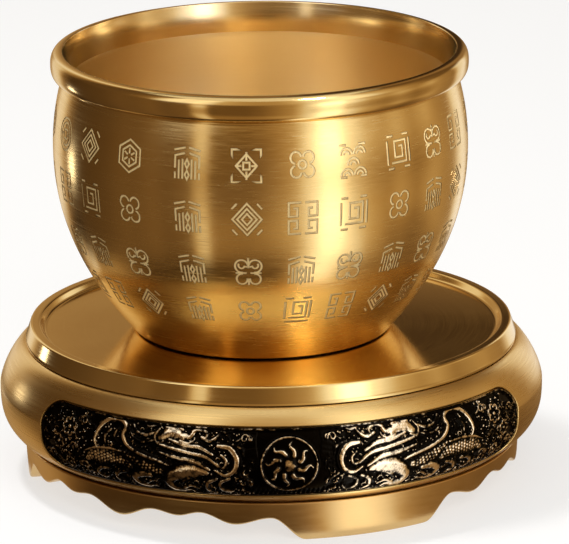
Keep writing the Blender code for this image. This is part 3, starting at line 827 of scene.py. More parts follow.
# %% A dragon that faces left
# Each part: knots of its line, half widths along it, height and surface
DRAGON = (
    # Chest curl and the tuft inside it
    (((19.4, 5.2), (16.0, 4.6), (14.2, 1.8), (14.8, -1.4), (17.4, -3.0), (20.2, -1.6)),
     (0.7, 1.25, 1.3, 1.15, 0.9, 0.3), 0.92, "ribbon"),
    (((18.4, 2.8), (17.0, 1.2), (17.8, -0.8), (19.6, 0.2)), (0.4, 0.5, 0.5, 0.2), 0.82, None),
    (((15.2, 5.8), (12.8, 4.6), (12.2, 2.2)), (0.3, 0.5, 0.15), 0.72, None),
    # Neck and raised arm, drawn as bands side by side
    (((19.2, -0.4), (22.6, 2.0), (27.6, 2.9), (35.6, 4.4)), (0.6, 1.0, 0.95, 0.6), 0.92, "ribbon"),
    (((20.8, 2.8), (24.4, 4.5), (28.8, 4.9), (33.2, 6.0)), (0.4, 0.7, 0.7, 0.4), 0.88, None),
    (((21.6, -1.6), (25.8, 0.5), (30.8, 1.1), (36.2, 2.4)), (0.4, 0.8, 0.75, 0.3), 0.86, None),
    # Shoulder, foreleg and paw
    (((22.4, -2.6), (26.4, -2.2), (30.8, -3.4), (33.4, -6.0), (32.4, -8.3), (29.6, -8.7)),
     (0.7, 1.9, 2.3, 1.6, 1.15, 0.9), 0.95, None),
    (((24.2, -3.4), (27.4, -4.4), (29.8, -6.4), (29.2, -7.8)), (0.3, 0.6, 0.6, 0.2), 0.74, None),
    (((29.8, -8.6), (27.4, -8.2), (26.2, -9.1)), (0.7, 0.55, 0.15), 0.90, None),
    (((29.4, -7.9), (27.2, -6.9), (25.4, -7.5)), (0.6, 0.5, 0.15), 0.90, None),
    (((31.0, -9.0), (29.4, -9.4), (28.0, -9.5)), (0.5, 0.4, 0.15), 0.84, None),
    # Lower curls of the chest
    (((16.2, -4.0), (18.8, -5.4), (18.4, -7.8), (15.8, -8.2), (14.6, -6.8)),
     (0.5, 0.6, 0.6, 0.5, 0.2), 0.80, None),
    (((19.8, -4.2), (22.2, -5.6), (22.6, -7.8), (20.6, -9.0)), (0.5, 0.7, 0.6, 0.2), 0.84, None),
    (((13.4, -3.0), (11.4, -4.4), (10.4, -6.6)), (0.5, 0.5, 0.15), 0.76, None),
    # Head: skull, brow, muzzle, jaws, ear, horn and beard
    (((35.6, 6.2), (33.4, 7.6), (30.8, 7.6), (29.0, 6.6)), (1.0, 1.6, 1.5, 0.9), 0.92, None),
    (((34.4, 8.9), (31.8, 9.4), (29.4, 8.6)), (0.5, 0.6, 0.3), 0.95, None),
    (((29.6, 7.2), (27.6, 7.0), (26.6, 7.9)), (0.95, 0.8, 0.6), 0.90, None),
    (((30.0, 5.8), (27.8, 5.4), (26.4, 6.0)), (0.6, 0.5, 0.25), 0.84, None),
    (((34.6, 5.4), (36.6, 4.8), (37.4, 6.6), (36.2, 8.4)), (0.5, 0.7, 0.6, 0.3), 0.86, "ribbon"),
    (((26.6, 8.4), (24.6, 9.2), (22.6, 8.2), (23.0, 6.6)), (0.6, 0.7, 0.6, 0.2), 0.82, None),
    (((24.0, 7.2), (21.8, 6.4), (19.8, 7.4), (18.4, 9.2)), (0.5, 0.6, 0.5, 0.2), 0.80, None),
    (((20.4, 9.4), (17.2, 8.6), (15.4, 9.3)), (0.4, 0.5, 0.15), 0.74, None),
    # Hair that sweeps back from the head
    (((37.2, 7.4), (40.2, 6.4), (43.0, 7.0), (45.0, 9.2)), (0.4, 0.6, 0.5, 0.15), 0.80, None),
    (((37.4, 5.4), (40.8, 4.5), (43.6, 5.2), (45.4, 7.0)), (0.3, 0.5, 0.45, 0.15), 0.76, None),
    (((37.6, 9.0), (39.8, 8.6), (41.6, 9.4)), (0.3, 0.45, 0.15), 0.72, None),
    # Long back band that rises into the tail and loops over
    (((32.8, -1.2), (36.4, -0.2), (41.4, 1.0), (45.4, 2.9), (47.2, 5.4), (46.8, 7.8), (49.0, 9.2),
      (52.4, 8.8), (55.2, 6.4), (56.4, 2.8), (55.4, 0.2)),
     (0.5, 0.85, 0.8, 0.9, 1.0, 0.95, 0.95, 1.05, 1.1, 0.95, 0.7, 0.2), 0.95, "ribbon"),
    (((51.4, 6.4), (53.0, 4.4), (52.6, 2.2)), (0.4, 0.6, 0.15), 0.76, None),
    (((49.4, 6.8), (50.0, 4.8), (49.0, 3.2)), (0.3, 0.5, 0.15), 0.72, None),
    # Flank, haunch and tail tuft with scales
    (((35.2, -3.2), (38.8, -2.6), (43.0, -1.0), (46.4, 0.9)), (1.3, 2.0, 1.7, 0.5), 0.88, "scales"),
    (((44.6, -3.0), (48.0, -1.5), (52.4, -1.4), (57.0, -1.8), (59.2, -3.2)),
     (1.0, 2.0, 2.4, 2.2, 1.0), 0.92, "scales"),
    (((47.4, 0.9), (51.6, 1.1), (56.6, 0.4), (60.4, -1.2)), (0.3, 0.45, 0.45, 0.15), 0.88, None),
    # Hind leg and paw
    (((38.6, -4.8), (41.8, -4.9), (44.0, -6.4), (42.6, -8.2), (39.8, -8.6)),
     (0.8, 1.15, 1.05, 0.85, 0.6), 0.92, None),
    (((40.0, -8.6), (37.8, -8.0), (36.4, -8.8)), (0.6, 0.5, 0.15), 0.88, None),
    (((40.4, -7.6), (38.4, -6.4), (36.8, -6.8)), (0.5, 0.45, 0.15), 0.86, None),
    (((46.4, -4.8), (49.4, -5.8), (50.2, -7.8), (47.8, -8.6)), (0.5, 0.7, 0.6, 0.2), 0.82, None),
    (((52.0, -5.0), (55.0, -5.4), (56.8, -7.2), (54.8, -8.4), (52.8, -7.4)),
     (0.4, 0.6, 0.6, 0.5, 0.2), 0.80, None),
)


FULLNESS = 1.25
# Eye, nostril and claws
KNOBS = ((31.2, 8.3, 0.42), (27.0, 7.7, 0.34), (24.8, 4.6, 0.3), (20.2, -8.9, 0.3))


def dragon(relief):
    """Raises one dragon on the half of the plaque where u is positive."""
    for knots, widths, top, finish in DRAGON:
        mound(relief, curve(knots), np.array(widths) * FULLNESS, top, 0.5, finish)
    for u, v, size in KNOBS:
        disc(relief, u, v, size, 0.97)


# %% Raise the figures
CLOUDS = ((61.2, 6.9, 1.3, 1, 0.8), (60.6, -5.6, 1.4, 1, 1.0), (74.4, 4.4, 1.2, -1, 0.5),
          (64.6, -0.6, 1.1, -1, 0.6), (73.2, -4.6, 1.2, 1, 0.5), (12.0, 7.2, 1.2, -1, 0.5))
ROUND_CLOUDS = ((66.2, 4.4, 2.7), (70.6, -0.6, 2.3), (66.6, -6.0, 1.9))
half_relief = np.zeros_like(plate_u)
dragon(half_relief)
for u, v, size, way, tail in CLOUDS:
    cloud_scroll(half_relief, u, v, size, way, 0.84, tail)
for u, v, size in ROUND_CLOUDS:
    rosette(half_relief, u, v, size)
for stripe in range(9):
    u = 8.9 + 0.42 * stripe
    line = curve([(u, 9.0), (u + 0.25, 6.0), (u - 0.2, 2.4), (u + 0.3, 0.4 - 0.3 * (stripe % 3))])
    mound(half_relief, line, [0.10, 0.17, 0.17, 0.05], 0.42)
print("figures cover", round(100 * float((half_relief > 0).mean())), "% of the grid")

# %% Water between the figures
CURLS, DROPS = 330, 420
WATER_U, WATER_V = (9.5, 77.0), (-9.2, 9.2)
water = np.zeros_like(half_relief)
chance = np.random.default_rng(11)
for curl in range(CURLS):
    u, v = chance.uniform(*WATER_U), chance.uniform(*WATER_V)
    size, a = chance.uniform(0.40, 0.95), chance.uniform(0, 2 * pi)
    angles = a + np.linspace(0.0, chance.uniform(2.0, 4.4), 8)
    line = np.stack([u + size * np.cos(angles), v + size * np.sin(angles)], 1)
    top = chance.choice([0.36, 0.50, 0.90], p=[0.35, 0.25, 0.4])
    mound(water, line, [0.12, 0.25, 0.12], top)
spray = np.random.default_rng(23)
for drop in range(DROPS):
    disc(water, spray.uniform(*WATER_U), spray.uniform(*WATER_V), spray.uniform(0.24, 0.38), 0.95)
half_relief = np.where(half_relief > 0.05, half_relief, water)
relief = np.maximum(half_relief, half_relief[::-1])


# %% Medallion, frame and grain
MEDALLION_RADIUS = 8.2
MEDALLION_RING = 0.62
BARE_HEIGHT = 0.9
FRAME_TOP = 0.66
BEAD_PITCH = 1.3


def flames(relief):
    """Flames that whirl round the pearl."""
    for tongue in range(8):
        a = 2 * pi * tongue / 8 + 0.3
        line = curve([(radius * cos(a + bend), radius * sin(a + bend))
                      for radius, bend in ((3.0, 0.0), (4.2, 0.16), (5.5, 0.46), (6.5, 0.36))], 6)
        mound(relief, line, [0.95, 0.85, 0.5, 0.12], 0.88)


far = np.hypot(plate_u, plate_v)
boss = np.clip((MEDALLION_RADIUS - far) / 0.30, 0, 1)
ring_middle = MEDALLION_RADIUS - MEDALLION_RING
ring_height = np.clip(1 - np.abs(far - ring_middle) / MEDALLION_RING, 0, 1) ** 0.6
medallion = np.zeros_like(relief)
flames(medallion)
disc(medallion, 0.0, 0.0, 2.5, 0.90)
ground = np.maximum(0.34 * boss, BARE_HEIGHT * ring_height * (boss > 0))
relief = np.where(far < MEDALLION_RADIUS, np.maximum(ground, medallion), relief)

edge = inside_outline(plate_u, plate_v)
frame_shape = np.clip((0.95 - edge) / 0.25, 0, 1) * FRAME_TOP
beads = np.hypot((plate_u % BEAD_PITCH) - 0.5 * BEAD_PITCH, edge - 1.35)
beads = np.clip(1 - beads / 0.38, 0, 1) ** 0.5 * (plate_v < 0)
relief = np.maximum(np.where(edge > 1.0, relief, 0.0), np.maximum(frame_shape, 0.86 * beads))
# How bare each point is: its height, times a tilt that makes the right end barer than the left, a
# painted light
bare_share_and_light = np.clip(relief / BARE_HEIGHT, 0, 1) * (0.97 + 0.05 * plate_u / np.max(plate_u))
grain = np.random.default_rng(7).normal(0.0, 0.012, relief.shape)
relief = relief + grain * (edge > PLAQUE_INSET + 0.2)
print("relief stands", round(float(relief.max()), 2), "mm above the field")

# %% Build the plaques
FIELD = -1.0
PLAQUE_BACK = -1.9 * MM


def plaque(side, turn_by):
    """One closed casting: the relief in front, a rim, and a plain back of long strips."""
    azimuth = CARTOUCHE_AZIMUTH + turn_by
    count, rows = relief.shape
    points, faces = [], []
    for column in range(count):
        for row in range(rows):
            points.append(on_drum(
                azimuth, plate_u[column, row] * MM, plate_v[column, row] * MM,
                (FIELD + relief[column, row]) * MM, CARTOUCHE_MIDDLE))

    def number(column, row):
        return column * rows + row

    for column in range(count - 1):
        for row in range(rows - 1):
            faces.append((number(column, row), number(column + 1, row),
                          number(column + 1, row + 1), number(column, row + 1)))
    rim = [(c, 0) for c in range(count - 1)] + [(count - 1, r) for r in range(rows - 1)]
    rim += [(c, rows - 1) for c in range(count - 1, 0, -1)]
    rim += [(0, r) for r in range(rows - 1, 0, -1)]
    back = {}
    for column, row in rim:
        back[column, row] = len(points)
        points.append(on_drum(azimuth, plate_u[column, row] * MM, plate_v[column, row] * MM,
                              PLAQUE_BACK, CARTOUCHE_MIDDLE))
    for here, there in zip(rim, rim[1:] + rim[:1]):
        faces.append((number(*here), back[here], back[there], number(*there)))
    for column in range(count - 1):
        faces.append((back[column, 0], back[column, rows - 1],
                      back[column + 1, rows - 1], back[column + 1, 0]))
    for column in (0, count - 1):
        end = [back[column, row] for row in range(rows)]
        faces.append(tuple(end if column == 0 else end[::-1]))
    piece = add_piece("plaque_" + side + "_relief", points, faces, "stand", "plaque_" + side,
                      "blackened_brass")
    # Each point keeps how bare it is, with the painted light of the right-end tilt
    wear_and_light = piece.data.attributes.new("worn_and_lit", "FLOAT", "POINT")
    values = np.zeros(len(points), np.float32)
    values[:count * rows] = bare_share_and_light.ravel()
    wear_and_light.data.foreach_set("value", values)
    return piece


plaques = [plaque(side, turn_by) for side, turn_by in SIDES]

# %% [markdown]
# ## Brass, brushed on the lathe
#
# Brass is a metal, so its colour lives in its reflections. Abrasive cloth held against the
# turning work leaves fine rings, which stretch a highlight across the rings. Three things make
# that finish: an anisotropic shader with its tangent round the axis, a noise that is stretched
# into thin rings for roughness and a slight bump, and a slow noise for uneven tarnish.

# %% Node helpers
def start_material(name):
    material = bpy.data.materials.new(name)
    material.use_nodes = True
    return material, material.node_tree.nodes["Principled BSDF"]


def feed(material, target, inputs):
    """Gives inputs of a node their values, or links outputs of other nodes to them."""
    for name, value in inputs.items():
        if isinstance(value, bpy.types.NodeSocket):
            material.node_tree.links.new(value, target.inputs[name])
        else:
            target.inputs[name].default_value = value
    return target


def node(material, kind, inputs=None, **settings):
    """A new node of a material, with its settings and inputs."""
    made = material.node_tree.nodes.new("ShaderNode" + kind)
    for key, value in settings.items():
        setattr(made, key, value)
    return feed(material, made, inputs or {})


def math_node(material, operation, a, b=0.0):
    return node(material, "Math", {0: a, 1: b}, operation=operation).outputs[0]


def span(material, value, low, high):
    """Stretches a 0 to 1 value to a range."""
    return node(material, "MapRange", {0: value, 1: 0.3, 2: 0.7, 3: low, 4: high}).outputs[0]


def mix_colours(material, factor, *colours):
    """Mixes two colours, each a colour or an output of a node."""
    a, b = (colour if isinstance(colour, bpy.types.NodeSocket) else (*colour, 1.0)
            for colour in colours)
    return node(material, "Mix", {0: factor, 6: a, 7: b}, data_type="RGBA").outputs[2]


def ring_noise(material, across, around, detail=3.0):
    """Noise drawn out into rings about Z: across and around are cells per metre."""
    place = node(material, "TexCoord").outputs["Object"]
    parts = node(material, "SeparateXYZ", {0: place}).outputs
    flat = node(material, "CombineXYZ", {0: parts[0], 1: parts[1]}).outputs[0]
    radius = node(material, "VectorMath", {0: flat}, operation="LENGTH").outputs[1]
    slow = math_node(material, "MULTIPLY", math_node(
        material, "ADD", parts[0], math_node(material, "MULTIPLY", parts[1], 0.7)), around)
    spot = node(material, "CombineXYZ", {
        0: math_node(material, "MULTIPLY", radius, across),
        1: math_node(material, "MULTIPLY", parts[2], across), 2: slow}).outputs[0]
    return node(material, "TexNoise", {"Vector": spot, "Scale": 1.0, "Detail": detail}).outputs[0]


def slow_noise(material, scale, detail=3.0):
    place = node(material, "TexCoord").outputs["Object"]
    settings = {"Vector": place, "Scale": scale, "Detail": detail}
    return node(material, "TexNoise", settings).outputs[0]


# %% Turned and cast brass
def ringed_brass(name, light, dark, roughness, anisotropy, bump, across=2600.0, around=45.0):
    """Brass with lathe rings. roughness is a pair from the smoothest to the dullest ring."""
    material, shader = start_material(name)
    rings = ring_noise(material, across, around)
    cloudy = slow_noise(material, 34.0)
    tint = mix_colours(material, span(material, cloudy, 0.0, 1.0), dark, light)
    tint = mix_colours(material, span(material, rings, 0.0, 0.35), tint, light)
    rough = math_node(material, "ADD", span(material, rings, roughness[0], roughness[1]),
                      span(material, cloudy, 0.0, 0.05))
    height = node(material, "Bump", {"Strength": bump, "Distance": 0.012 * MM, "Height": rings})
    tangent = node(material, "Tangent", direction_type="RADIAL", axis="Z")
    feed(material, shader, {
        "Base Color": tint, "Metallic": 1.0, "Roughness": rough, "Normal": height.outputs[0],
        "Tangent": tangent.outputs[0], "Anisotropic": anisotropy, "Anisotropic Rotation": 0.25})
    return material


brushed = ringed_brass("brushed_brass", (0.88, 0.66, 0.31), (0.80, 0.56, 0.23), (0.13, 0.26),
                       0.6, 0.6, around=160.0)
# The inside and the mouth are the same brass as the wall, made paler: a painted light
inside = ringed_brass("satin_inside_painted_light", (0.96, 0.78, 0.47), (0.92, 0.71, 0.39), (0.31, 0.37),
                      0.85, 0.12, around=60.0)
mouth = ringed_brass("polished_mouth_painted_light", (0.97, 0.80, 0.50), (0.94, 0.74, 0.42), (0.10, 0.16),
                     0.5, 0.2, around=60.0)
# The rim is the same brass as the wall, made darker: a painted shade
rim = ringed_brass("polished_rim_painted_shade", (0.80, 0.59, 0.27), (0.73, 0.51, 0.21), (0.09, 0.15),
                   0.5, 0.25, around=90.0)
polished = ringed_brass("polished_brass", (0.88, 0.67, 0.32), (0.80, 0.57, 0.24), (0.08, 0.14),
                        0.4, 0.2, around=60.0)
satin = ringed_brass("satin_brass", (0.84, 0.61, 0.27), (0.74, 0.51, 0.20), (0.22, 0.32),
                     0.5, 0.35, across=1900.0, around=90.0)
# The apron's brass is darker than the drum's, in part a painted shade for its place under the drum
cast = ringed_brass("cast_brass_painted_shade", (0.80, 0.56, 0.26), (0.62, 0.42, 0.17), (0.28, 0.38),
                    0.4, 0.35, across=1500.0, around=120.0)


# %% [markdown]
# ## Etched lines and blackened castings
#
# The floor of an engraved line is frosted, so it scatters light and stays pale where the wall
# round it mirrors something dark. Its sloping sides get a dark brown colour, a painted shade
# that draws a thin outline. The plaques were dipped in a darkening bath and then worn back
# with a cloth: the high places are bare metal again and the field stays black. The relief stores
# how high each point is, and the finish reads that to know where the cloth has been; a painted
# light makes the right end a little barer than the left.

# %% Etched and blackened finishes
etched, shader = start_material("etched_brass")
frost = slow_noise(etched, 2600.0, 2.0)
pale = mix_colours(etched, span(etched, frost, 0.0, 1.0), (1.00, 0.80, 0.42), (0.94, 0.68, 0.30))
feed(etched, shader, {
    "Base Color": pale, "Metallic": 0.1, "Roughness": span(etched, frost, 0.50, 0.62)})

# Dark brown for the sloping sides of the engraved lines, a painted shade in the grooves
groove_shade, shader = start_material("groove_shade_brass")
painted_groove_shade = mix_colours(groove_shade, slow_noise(groove_shade, 900.0), (0.18, 0.105, 0.038), (0.32, 0.20, 0.075))
feed(groove_shade, shader, {"Base Color": painted_groove_shade, "Metallic": 0.9, "Roughness": 0.4})

blackened, shader = start_material("blackened_brass")
# How bare each point is, read from the relief, with its painted light tilt
height = node(blackened, "Attribute", attribute_name="worn_and_lit").outputs["Fac"]
speckle = slow_noise(blackened, 900.0, 4.0)
patch = slow_noise(blackened, 60.0, 2.0)
wear_and_light = math_node(blackened, "ADD", height, span(blackened, speckle, -0.20, 0.14))
wear_and_light = math_node(blackened, "ADD", wear_and_light, span(blackened, patch, -0.10, 0.10))
wear_and_light = node(blackened, "MapRange", {0: wear_and_light, 1: 0.72, 2: 0.94}).outputs[0]
bare = mix_colours(blackened, span(blackened, patch, 0.0, 1.0), (0.94, 0.74, 0.50),
                   (0.90, 0.76, 0.58))
pitted = node(blackened, "Bump", {"Strength": 0.25, "Distance": 0.05 * MM, "Height": speckle})
feed(blackened, shader, {
    "Base Color": mix_colours(blackened, wear_and_light, (0.005, 0.004, 0.003), bare), "Metallic": 1.0,
    "Roughness": span(blackened, speckle, 0.08, 0.20), "Normal": pitted.outputs[0]})
print("finishes:", [finish.name for finish in (etched, groove_shade, blackened)])

# %% Put the finishes on
# The bowl's slots are brushed 0, etched 1, inside 2, rim 3, groove sides 4 and mouth 5. The
# inside and the mouth are paler, a painted light; the rim and the groove sides are darker, a
# painted shade
MOUTH_OF_BOWL = 53.97 * MM
INSIDE_SLOT, RIM_SLOT, MOUTH_SLOT = 2, 3, 5
for face in bowl.data.polygons:
    reach, height = hypot(face.center.x, face.center.y), face.center.z
    wall = bowl_radius(height) - 0.5 * BOWL_WALL if height < NECK_HEIGHT else MOUTH_OF_BOWL
    if height > NECK_HEIGHT:
        face.material_index = RIM_SLOT if reach > wall else MOUTH_SLOT
    elif height > 2.0 * MM and reach < wall:
        face.material_index = INSIDE_SLOT
FINISHES = ((bowl, (brushed, etched, inside, rim, groove_shade, mouth)), (dish, (polished,)),
            (drum, (satin,)), (apron, (cast,)), *((piece, (blackened,)) for piece in plaques))
for piece, finishes in FINISHES:
    indices = [face.material_index for face in piece.data.polygons]
    piece.data.materials.clear()
    for finish in finishes:
        piece.data.materials.append(finish)
    piece.data.polygons.foreach_set("material_index", indices)
    print(piece.name, [finish.name for finish in finishes])

# %% [markdown]
# ## Table
#
# The table is white to the camera and to reflections, so the metal shows the same pale ground.
# A part of that white is its own glow, and the rest is lamplight, so the object's shadow stays.

# %% White table
REACH = 4.0
TABLE_GREY = 0.40
TABLE_GLOW = 0.63
corners = [(-REACH, -REACH, 0), (REACH, -REACH, 0), (REACH, REACH, 0), (-REACH, REACH, 0)]
table_top = add_piece("table_top", corners, [(0, 1, 2, 3)], None)
paper, shader = start_material("white_table")
rays = node(paper, "LightPath").outputs
seen = math_node(paper, "MAXIMUM", rays["Is Camera Ray"], math_node(
    paper, "MAXIMUM", rays["Is Glossy Ray"], rays["Is Transmission Ray"]))
feed(paper, shader, {
    "Base Color": (TABLE_GREY, TABLE_GREY, TABLE_GREY, 1.0), "Roughness": 0.9,
    "Specular IOR Level": 0.0, "Emission Color": (1.0, 1.0, 1.0, 1.0),
    "Emission Strength": math_node(paper, "MULTIPLY", seen, TABLE_GLOW)})
table_top.data.materials.append(paper)

# %% [markdown]
# ## Cards round the metal
#
# Polished brass shows whatever surrounds it, and a bare white table would wash it out. So pale
# and dark cards stand round the object, as they would in a studio, and only reflections see
# them. Dark cards give the deep brown sides, and the gaps of light between them give the bright
# streaks. Each card has a direction in degrees, with 0 in front, and a brightness. The low tier
# lies on the table and lights the apron, the middle tier lights the drum and the bowl, and the
# upper tier lights the shoulder and the mouth.

# %% Brightness of the cards
LOW_CARDS = (
    (-180, 0.30), (-150, 0.50), (-132, 0.50), (-122, 0.45), (-113, 0.22), (-100, 0.08),
    (-88, 0.05), (-50, 0.05), (-20, 0.08), (-6, 0.09), (9, 0.12), (16, 0.22), (22, 0.50),
    (28, 1.00), (34, 1.60), (46, 1.60), (52, 1.30), (57, 1.05), (62, 0.60), (70, 0.38),
    (84, 0.28), (100, 0.22), (125, 0.16), (150, 0.20), (180, 0.30))
MIDDLE_CARDS = (
    (-180, 0.45), (-168, 0.45), (-161, 0.90), (-147, 0.90), (-138, 0.22), (-128, 0.07),
    (-110, 0.09), (-96, 0.11), (-84, 0.15), (-74, 0.15), (-62, 0.19), (-54, 0.15), (-44, 0.18),
    (-40, 0.20), (-36.5, 0.74), (-31.5, 0.80), (-28, 0.18), (-18, 0.17), (-8, 0.17), (0, 0.22),
    (8, 0.33), (18, 0.50), (24, 0.90), (30, 1.30), (35, 2.30), (44, 2.30), (48, 1.30),
    (55, 0.90), (63, 0.62), (74, 0.46), (84, 0.62), (96, 0.40), (110, 0.60), (122, 0.42),
    (136, 0.34), (143, 0.95), (156, 1.10), (164, 0.55), (172, 0.35), (180, 0.30))
UPPER_CARDS = (
    (-180, 0.30), (-168, 0.32), (-158, 0.58), (-146, 1.00), (-138, 0.85), (-128, 0.40),
    (-112, 0.10), (-75, 0.15), (-60, 0.30), (-54, 1.05), (-48, 1.45), (-40, 1.25), (-33, 1.60),
    (-27, 1.20), (-22, 0.70), (-10, 0.55), (0, 0.50), (10, 0.52), (20, 0.75), (30, 1.20),
    (40, 1.70), (50, 1.60), (60, 1.10), (68, 0.75), (78, 0.60), (95, 0.36), (110, 0.20),
    (134, 0.14), (148, 0.32), (156, 0.30), (162, 0.05), (174, 0.05), (180, 0.40))


def level_at(knots, value):
    """Height at a value of the line through (value, level) knots."""
    return float(np.interp(value, *zip(*knots)))


print("cards in the tiers:", len(LOW_CARDS), len(MIDDLE_CARDS), len(UPPER_CARDS))

# %% [markdown]
# ## Where a card has to stand
#
# The cards stand near, so where a card has to stand for its reflection to fall in a direction
# also depends on the wall that mirrors it. Sight lines are traced from the camera to walls at
# several heights and on to the ring of cards. A place on the ring is an azimuth and a path: the
# distance from the stand's axis out over the table, and then on up the standing cards.

# %% Trace the mirrored lines of sight
CAMERA_TILT = radians(15.889)
RING_RADIUS = 300.0
SKIRT_HEIGHT = 1.2
APRON_MIRROR_RADIUS, APRON_MIRROR_HEIGHTS = 71.0 * MM, (2.0, 5.0, 9.0, 16.0)


def mirrored_spot(turned, radius, height, across=0.0, up=1.0):
    """Azimuth and path of what a turned wall with the slope (across, up) mirrors."""
    normal = np.array(on_circle(up, turned, -across))
    sight = np.array([0.0, cos(CAMERA_TILT), -sin(CAMERA_TILT)])
    ray = sight - 2.0 * min(sight @ normal, 0.0) * normal
    spot = np.array(on_circle(radius, turned, height)) / MM
    flat, middle = ray[:2] @ ray[:2], ray[:2] @ spot[:2]
    room = spot[:2] @ spot[:2] - RING_RADIUS ** 2
    travel = (sqrt(middle ** 2 - flat * room) - middle) / flat
    if spot[2] + ray[2] * travel < SKIRT_HEIGHT:
        travel = (SKIRT_HEIGHT - spot[2]) / ray[2]
    spot = spot + ray * travel
    reach = hypot(spot[0], spot[1])
    return atan2(spot[0], -spot[1]), min(reach, RING_RADIUS) + max(0.0, spot[2] - SKIRT_HEIGHT)


wall_turns = np.radians(np.linspace(-88.0, 88.0, 89))
mirrors = [(APRON_MIRROR_RADIUS, height * MM) for height in APRON_MIRROR_HEIGHTS]
mirrors += [(bowl_radius(height), BOWL_BASE + height, *bowl_slope(height))
            for height in np.linspace(31.0, 70.0, 18) * MM]
traced = np.array([[mirrored_spot(turned, *mirror) for mirror in mirrors] for turned in wall_turns])
print("paths from", round(traced[:, :, 1].min()), "to", round(traced[:, :, 1].max()), "mm")

# %% Levels on the ring
RING_PATH = (69.5, 78.0, 88.0, 100.0, 115.0, 130.0, 150.0, 175.0, 210.0, 250.0, 300.0, 350.0,
             400.0, 412.0, 426.0, 440.0, 475.0, 515.0, 560.0, 700.0, 850.0)
LOW_END, LEFT_WALL_START, RIGHT_WALL_START = 115.0, 130.0, 175.0
UPPER_START, BACK_UPPER_START, UPPER_REACH = 475.0, 408.0, 40.0
RING_COLUMNS = 360
FRONT_LIFT, WALL_TOP_GAIN = 0.15, 0.2
BEAD_DIM, FAR_LEFT_DIM, FAR_RIGHT_DIM = 0.35, 0.85, 0.45


def ring_level(path, azimuth, direction):
    """Brightness at a path and an azimuth on the ring that is mirrored in a direction."""
    wall_start = level_at(((-20, LEFT_WALL_START), (20, RIGHT_WALL_START)), direction)
    low = level_at(((LOW_END, 1), (wall_start, 0)), path)
    behind = level_at(((140, 0), (155, 1)), abs(azimuth))
    start = UPPER_START + behind * (BACK_UPPER_START - UPPER_START)
    upper = level_at(((start, 0), (start + UPPER_REACH * (1 - 0.7 * behind), 1)), path)
    lift = FRONT_LIFT * level_at(((115, 0), (140, 1), (220, 1), (290, 0)), path)
    lift *= level_at(((22, 1), (34, 0)), abs(direction + 8))
    far_left = level_at(((148, 0), (160, 1), (195, 1), (225, 0)), path)
    far_left *= level_at(((-122, 1), (-112, 0)), azimuth)
    far_right = level_at(((115, 0), (135, 1), (200, 1), (240, 0)), path)
    far_right *= level_at(((70, 0), (80, 1), (108, 1), (120, 0)), direction)
    bead = level_at(((300, 0), (350, 1), (400, 0)), path)
    wall_top = level_at(((400, 0), (412, 1), (440, 1), (475, 0)), path)
    bright = level_at(((-44, 0), (-38, 1), (-28, 1), (-22, 0), (24, 0), (32, 1), (108, 1),
                       (118, 0)), direction)
    tiers = (low * level_at(LOW_CARDS, direction) + upper * level_at(UPPER_CARDS, azimuth)
             + (1 - low - upper) * level_at(MIDDLE_CARDS, direction))
    return ((1 + bright * (WALL_TOP_GAIN * wall_top - BEAD_DIM * bead))
            * (1 - FAR_LEFT_DIM * far_left) * (1 - FAR_RIGHT_DIM * far_right) * (tiers + lift))


# %% Build the ring
ring_points, ring_levels, ring_faces = [], [], []
for path in RING_PATH:
    stands_at = np.maximum.accumulate(
        [np.interp(path, spots[:, 1], np.unwrap(spots[:, 0])) for spots in traced])
    radius, height = min(path, RING_RADIUS), SKIRT_HEIGHT + max(0.0, path - RING_RADIUS)
    for column in range(RING_COLUMNS):
        a = 2 * pi * column / RING_COLUMNS - pi
        ring_points.append(on_circle(radius * MM, a, height * MM))
        direction = 2.0 * degrees(np.interp(a, stands_at, wall_turns))
        ring_levels.append(ring_level(path, degrees(a), direction))
for start in range(0, (len(RING_PATH) - 1) * RING_COLUMNS, RING_COLUMNS):
    low = list(range(start, start + RING_COLUMNS))
    ring_faces += bridge(low, [number + RING_COLUMNS for number in low])
card_ring = add_piece("card_ring", ring_points, ring_faces, None)
for ray_kind in ("camera", "diffuse", "transmission", "volume_scatter", "shadow"):
    setattr(card_ring, "visible_" + ray_kind, False)

# %% Colour of the cards
# Dim cards are warm and bright ones are nearly neutral
shade = card_ring.data.color_attributes.new("shade", "FLOAT_COLOR", "POINT")
for number, level in enumerate(ring_levels):
    pale = min(1.0, level)
    shade.data[number].color = (level, level * (0.56 + 0.40 * pale ** 1.8),
                                level * (0.24 + 0.66 * pale ** 3), 1.0)
card, shader = start_material("cards")
feed(card, shader, {
    "Base Color": (0.0, 0.0, 0.0, 1.0), "Specular IOR Level": 0.0, "Emission Strength": 1.0,
    "Emission Color": node(card, "VertexColor", layer_name="shade").outputs[0]})
card_ring.data.materials.append(card)
print("card levels from", round(min(ring_levels), 2), "to", round(max(ring_levels), 2))

# %% [markdown]
# ## Room and lamps
#
# A soft box overhead lights the whole object, and the room's even glow fills the shadows. A
# fill and a high lamp on the left light what is rough and cast the shadow on the table, and the
# metal doesn't mirror them. Two small lamps give the points of light on the left and in the
# mouth.

# %% Room and lamps
world = bpy.data.worlds.new("room")
bpy.context.scene.world = world
world.use_nodes = True
ROOM_COLOUR = (0.31, 0.28, 0.23, 1.0)
world.node_tree.nodes["Background"].inputs["Color"].default_value = ROOM_COLOUR

AIM = Vector((0.0, 0.0, 0.07))


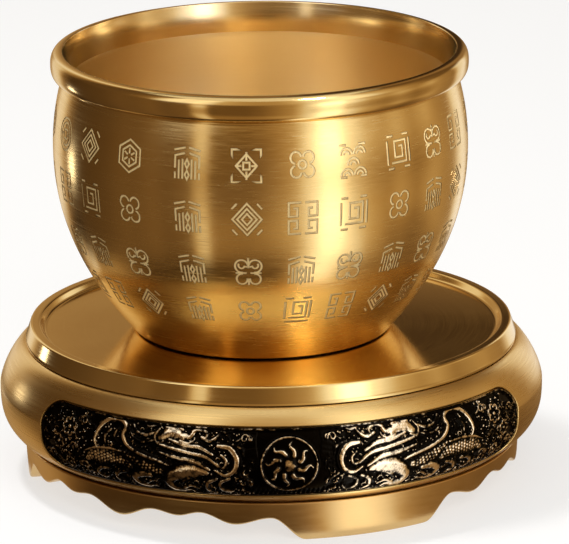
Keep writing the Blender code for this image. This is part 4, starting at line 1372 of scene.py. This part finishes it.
def softbox(name, azimuth, elevation, distance, wide, tall, brightness, colour=(1, 1, 1),
            mirrored=True):
    """A rectangular lamp that faces the object. Brightness is what a mirror shows of it."""
    lamp = bpy.data.lights.new(name, "AREA")
    lamp.shape = "RECTANGLE"
    lamp.size, lamp.size_y = wide, tall
    lamp.energy = brightness * pi * wide * tall
    lamp.color = colour
    holder = bpy.data.objects.new(name, lamp)
    bpy.context.scene.collection.objects.link(holder)
    a, e = radians(azimuth), radians(elevation)
    way = Vector(on_circle(cos(e), a, sin(e)))
    holder.location = AIM + way * distance
    holder.rotation_euler = way.to_track_quat("Z", "Y").to_euler()
    holder.visible_glossy = mirrored
    return holder


softbox("overhead_softbox", 10, 80, 1.1, 1.2, 1.2, 0.62)
softbox("front_fill", 14, 32, 1.3, 0.7, 0.6, 3.5, mirrored=False)
softbox("shadow_lamp", -95, 73, 1.2, 0.14, 0.14, 110.0, mirrored=False)
softbox("near_left_lamp", -117, -7.3, 0.25, 0.026, 0.026, 4.0, (1.0, 0.96, 0.88))
mouth_lamp = softbox("mouth_lamp", 42, 62, 0.36, 0.05, 0.05, 3.3)
mouth_lamp.data.spread = radians(13.0)
print("lamps:", [thing.name for thing in bpy.data.lights])

# %% [markdown]
# ## Camera
#
# A product photographer stands back with a long lens, so that the near rim doesn't swell. This
# camera has the place, the turn and the lens that fit the photograph's outlines.

# %% Camera
CAMERA_PLACE = (0.00008, -1.63697, 0.52154)
CAMERA_PAN, CAMERA_ROLL = radians(0.137), radians(0.633)
camera = bpy.data.objects.new("camera", bpy.data.cameras.new("camera"))
bpy.context.scene.collection.objects.link(camera)
camera.data.sensor_width, camera.data.lens = 36.0, 390.32
camera.data.clip_start, camera.data.clip_end = 0.1, 20.0
ahead = Vector((sin(CAMERA_PAN) * cos(CAMERA_TILT),
                cos(CAMERA_PAN) * cos(CAMERA_TILT), -sin(CAMERA_TILT)))
level = Vector((cos(CAMERA_PAN), -sin(CAMERA_PAN), 0.0))
right = level * cos(CAMERA_ROLL) + ahead.cross(level) * sin(CAMERA_ROLL)
turned_to = Matrix((right, right.cross(ahead), -ahead)).transposed()
camera.matrix_world = Matrix.Translation(CAMERA_PLACE) @ turned_to.to_4x4()
bpy.context.scene.camera = camera
bpy.context.scene.view_settings.view_transform = "Standard"
print("camera lens", camera.data.lens, "mm at", CAMERA_PLACE)
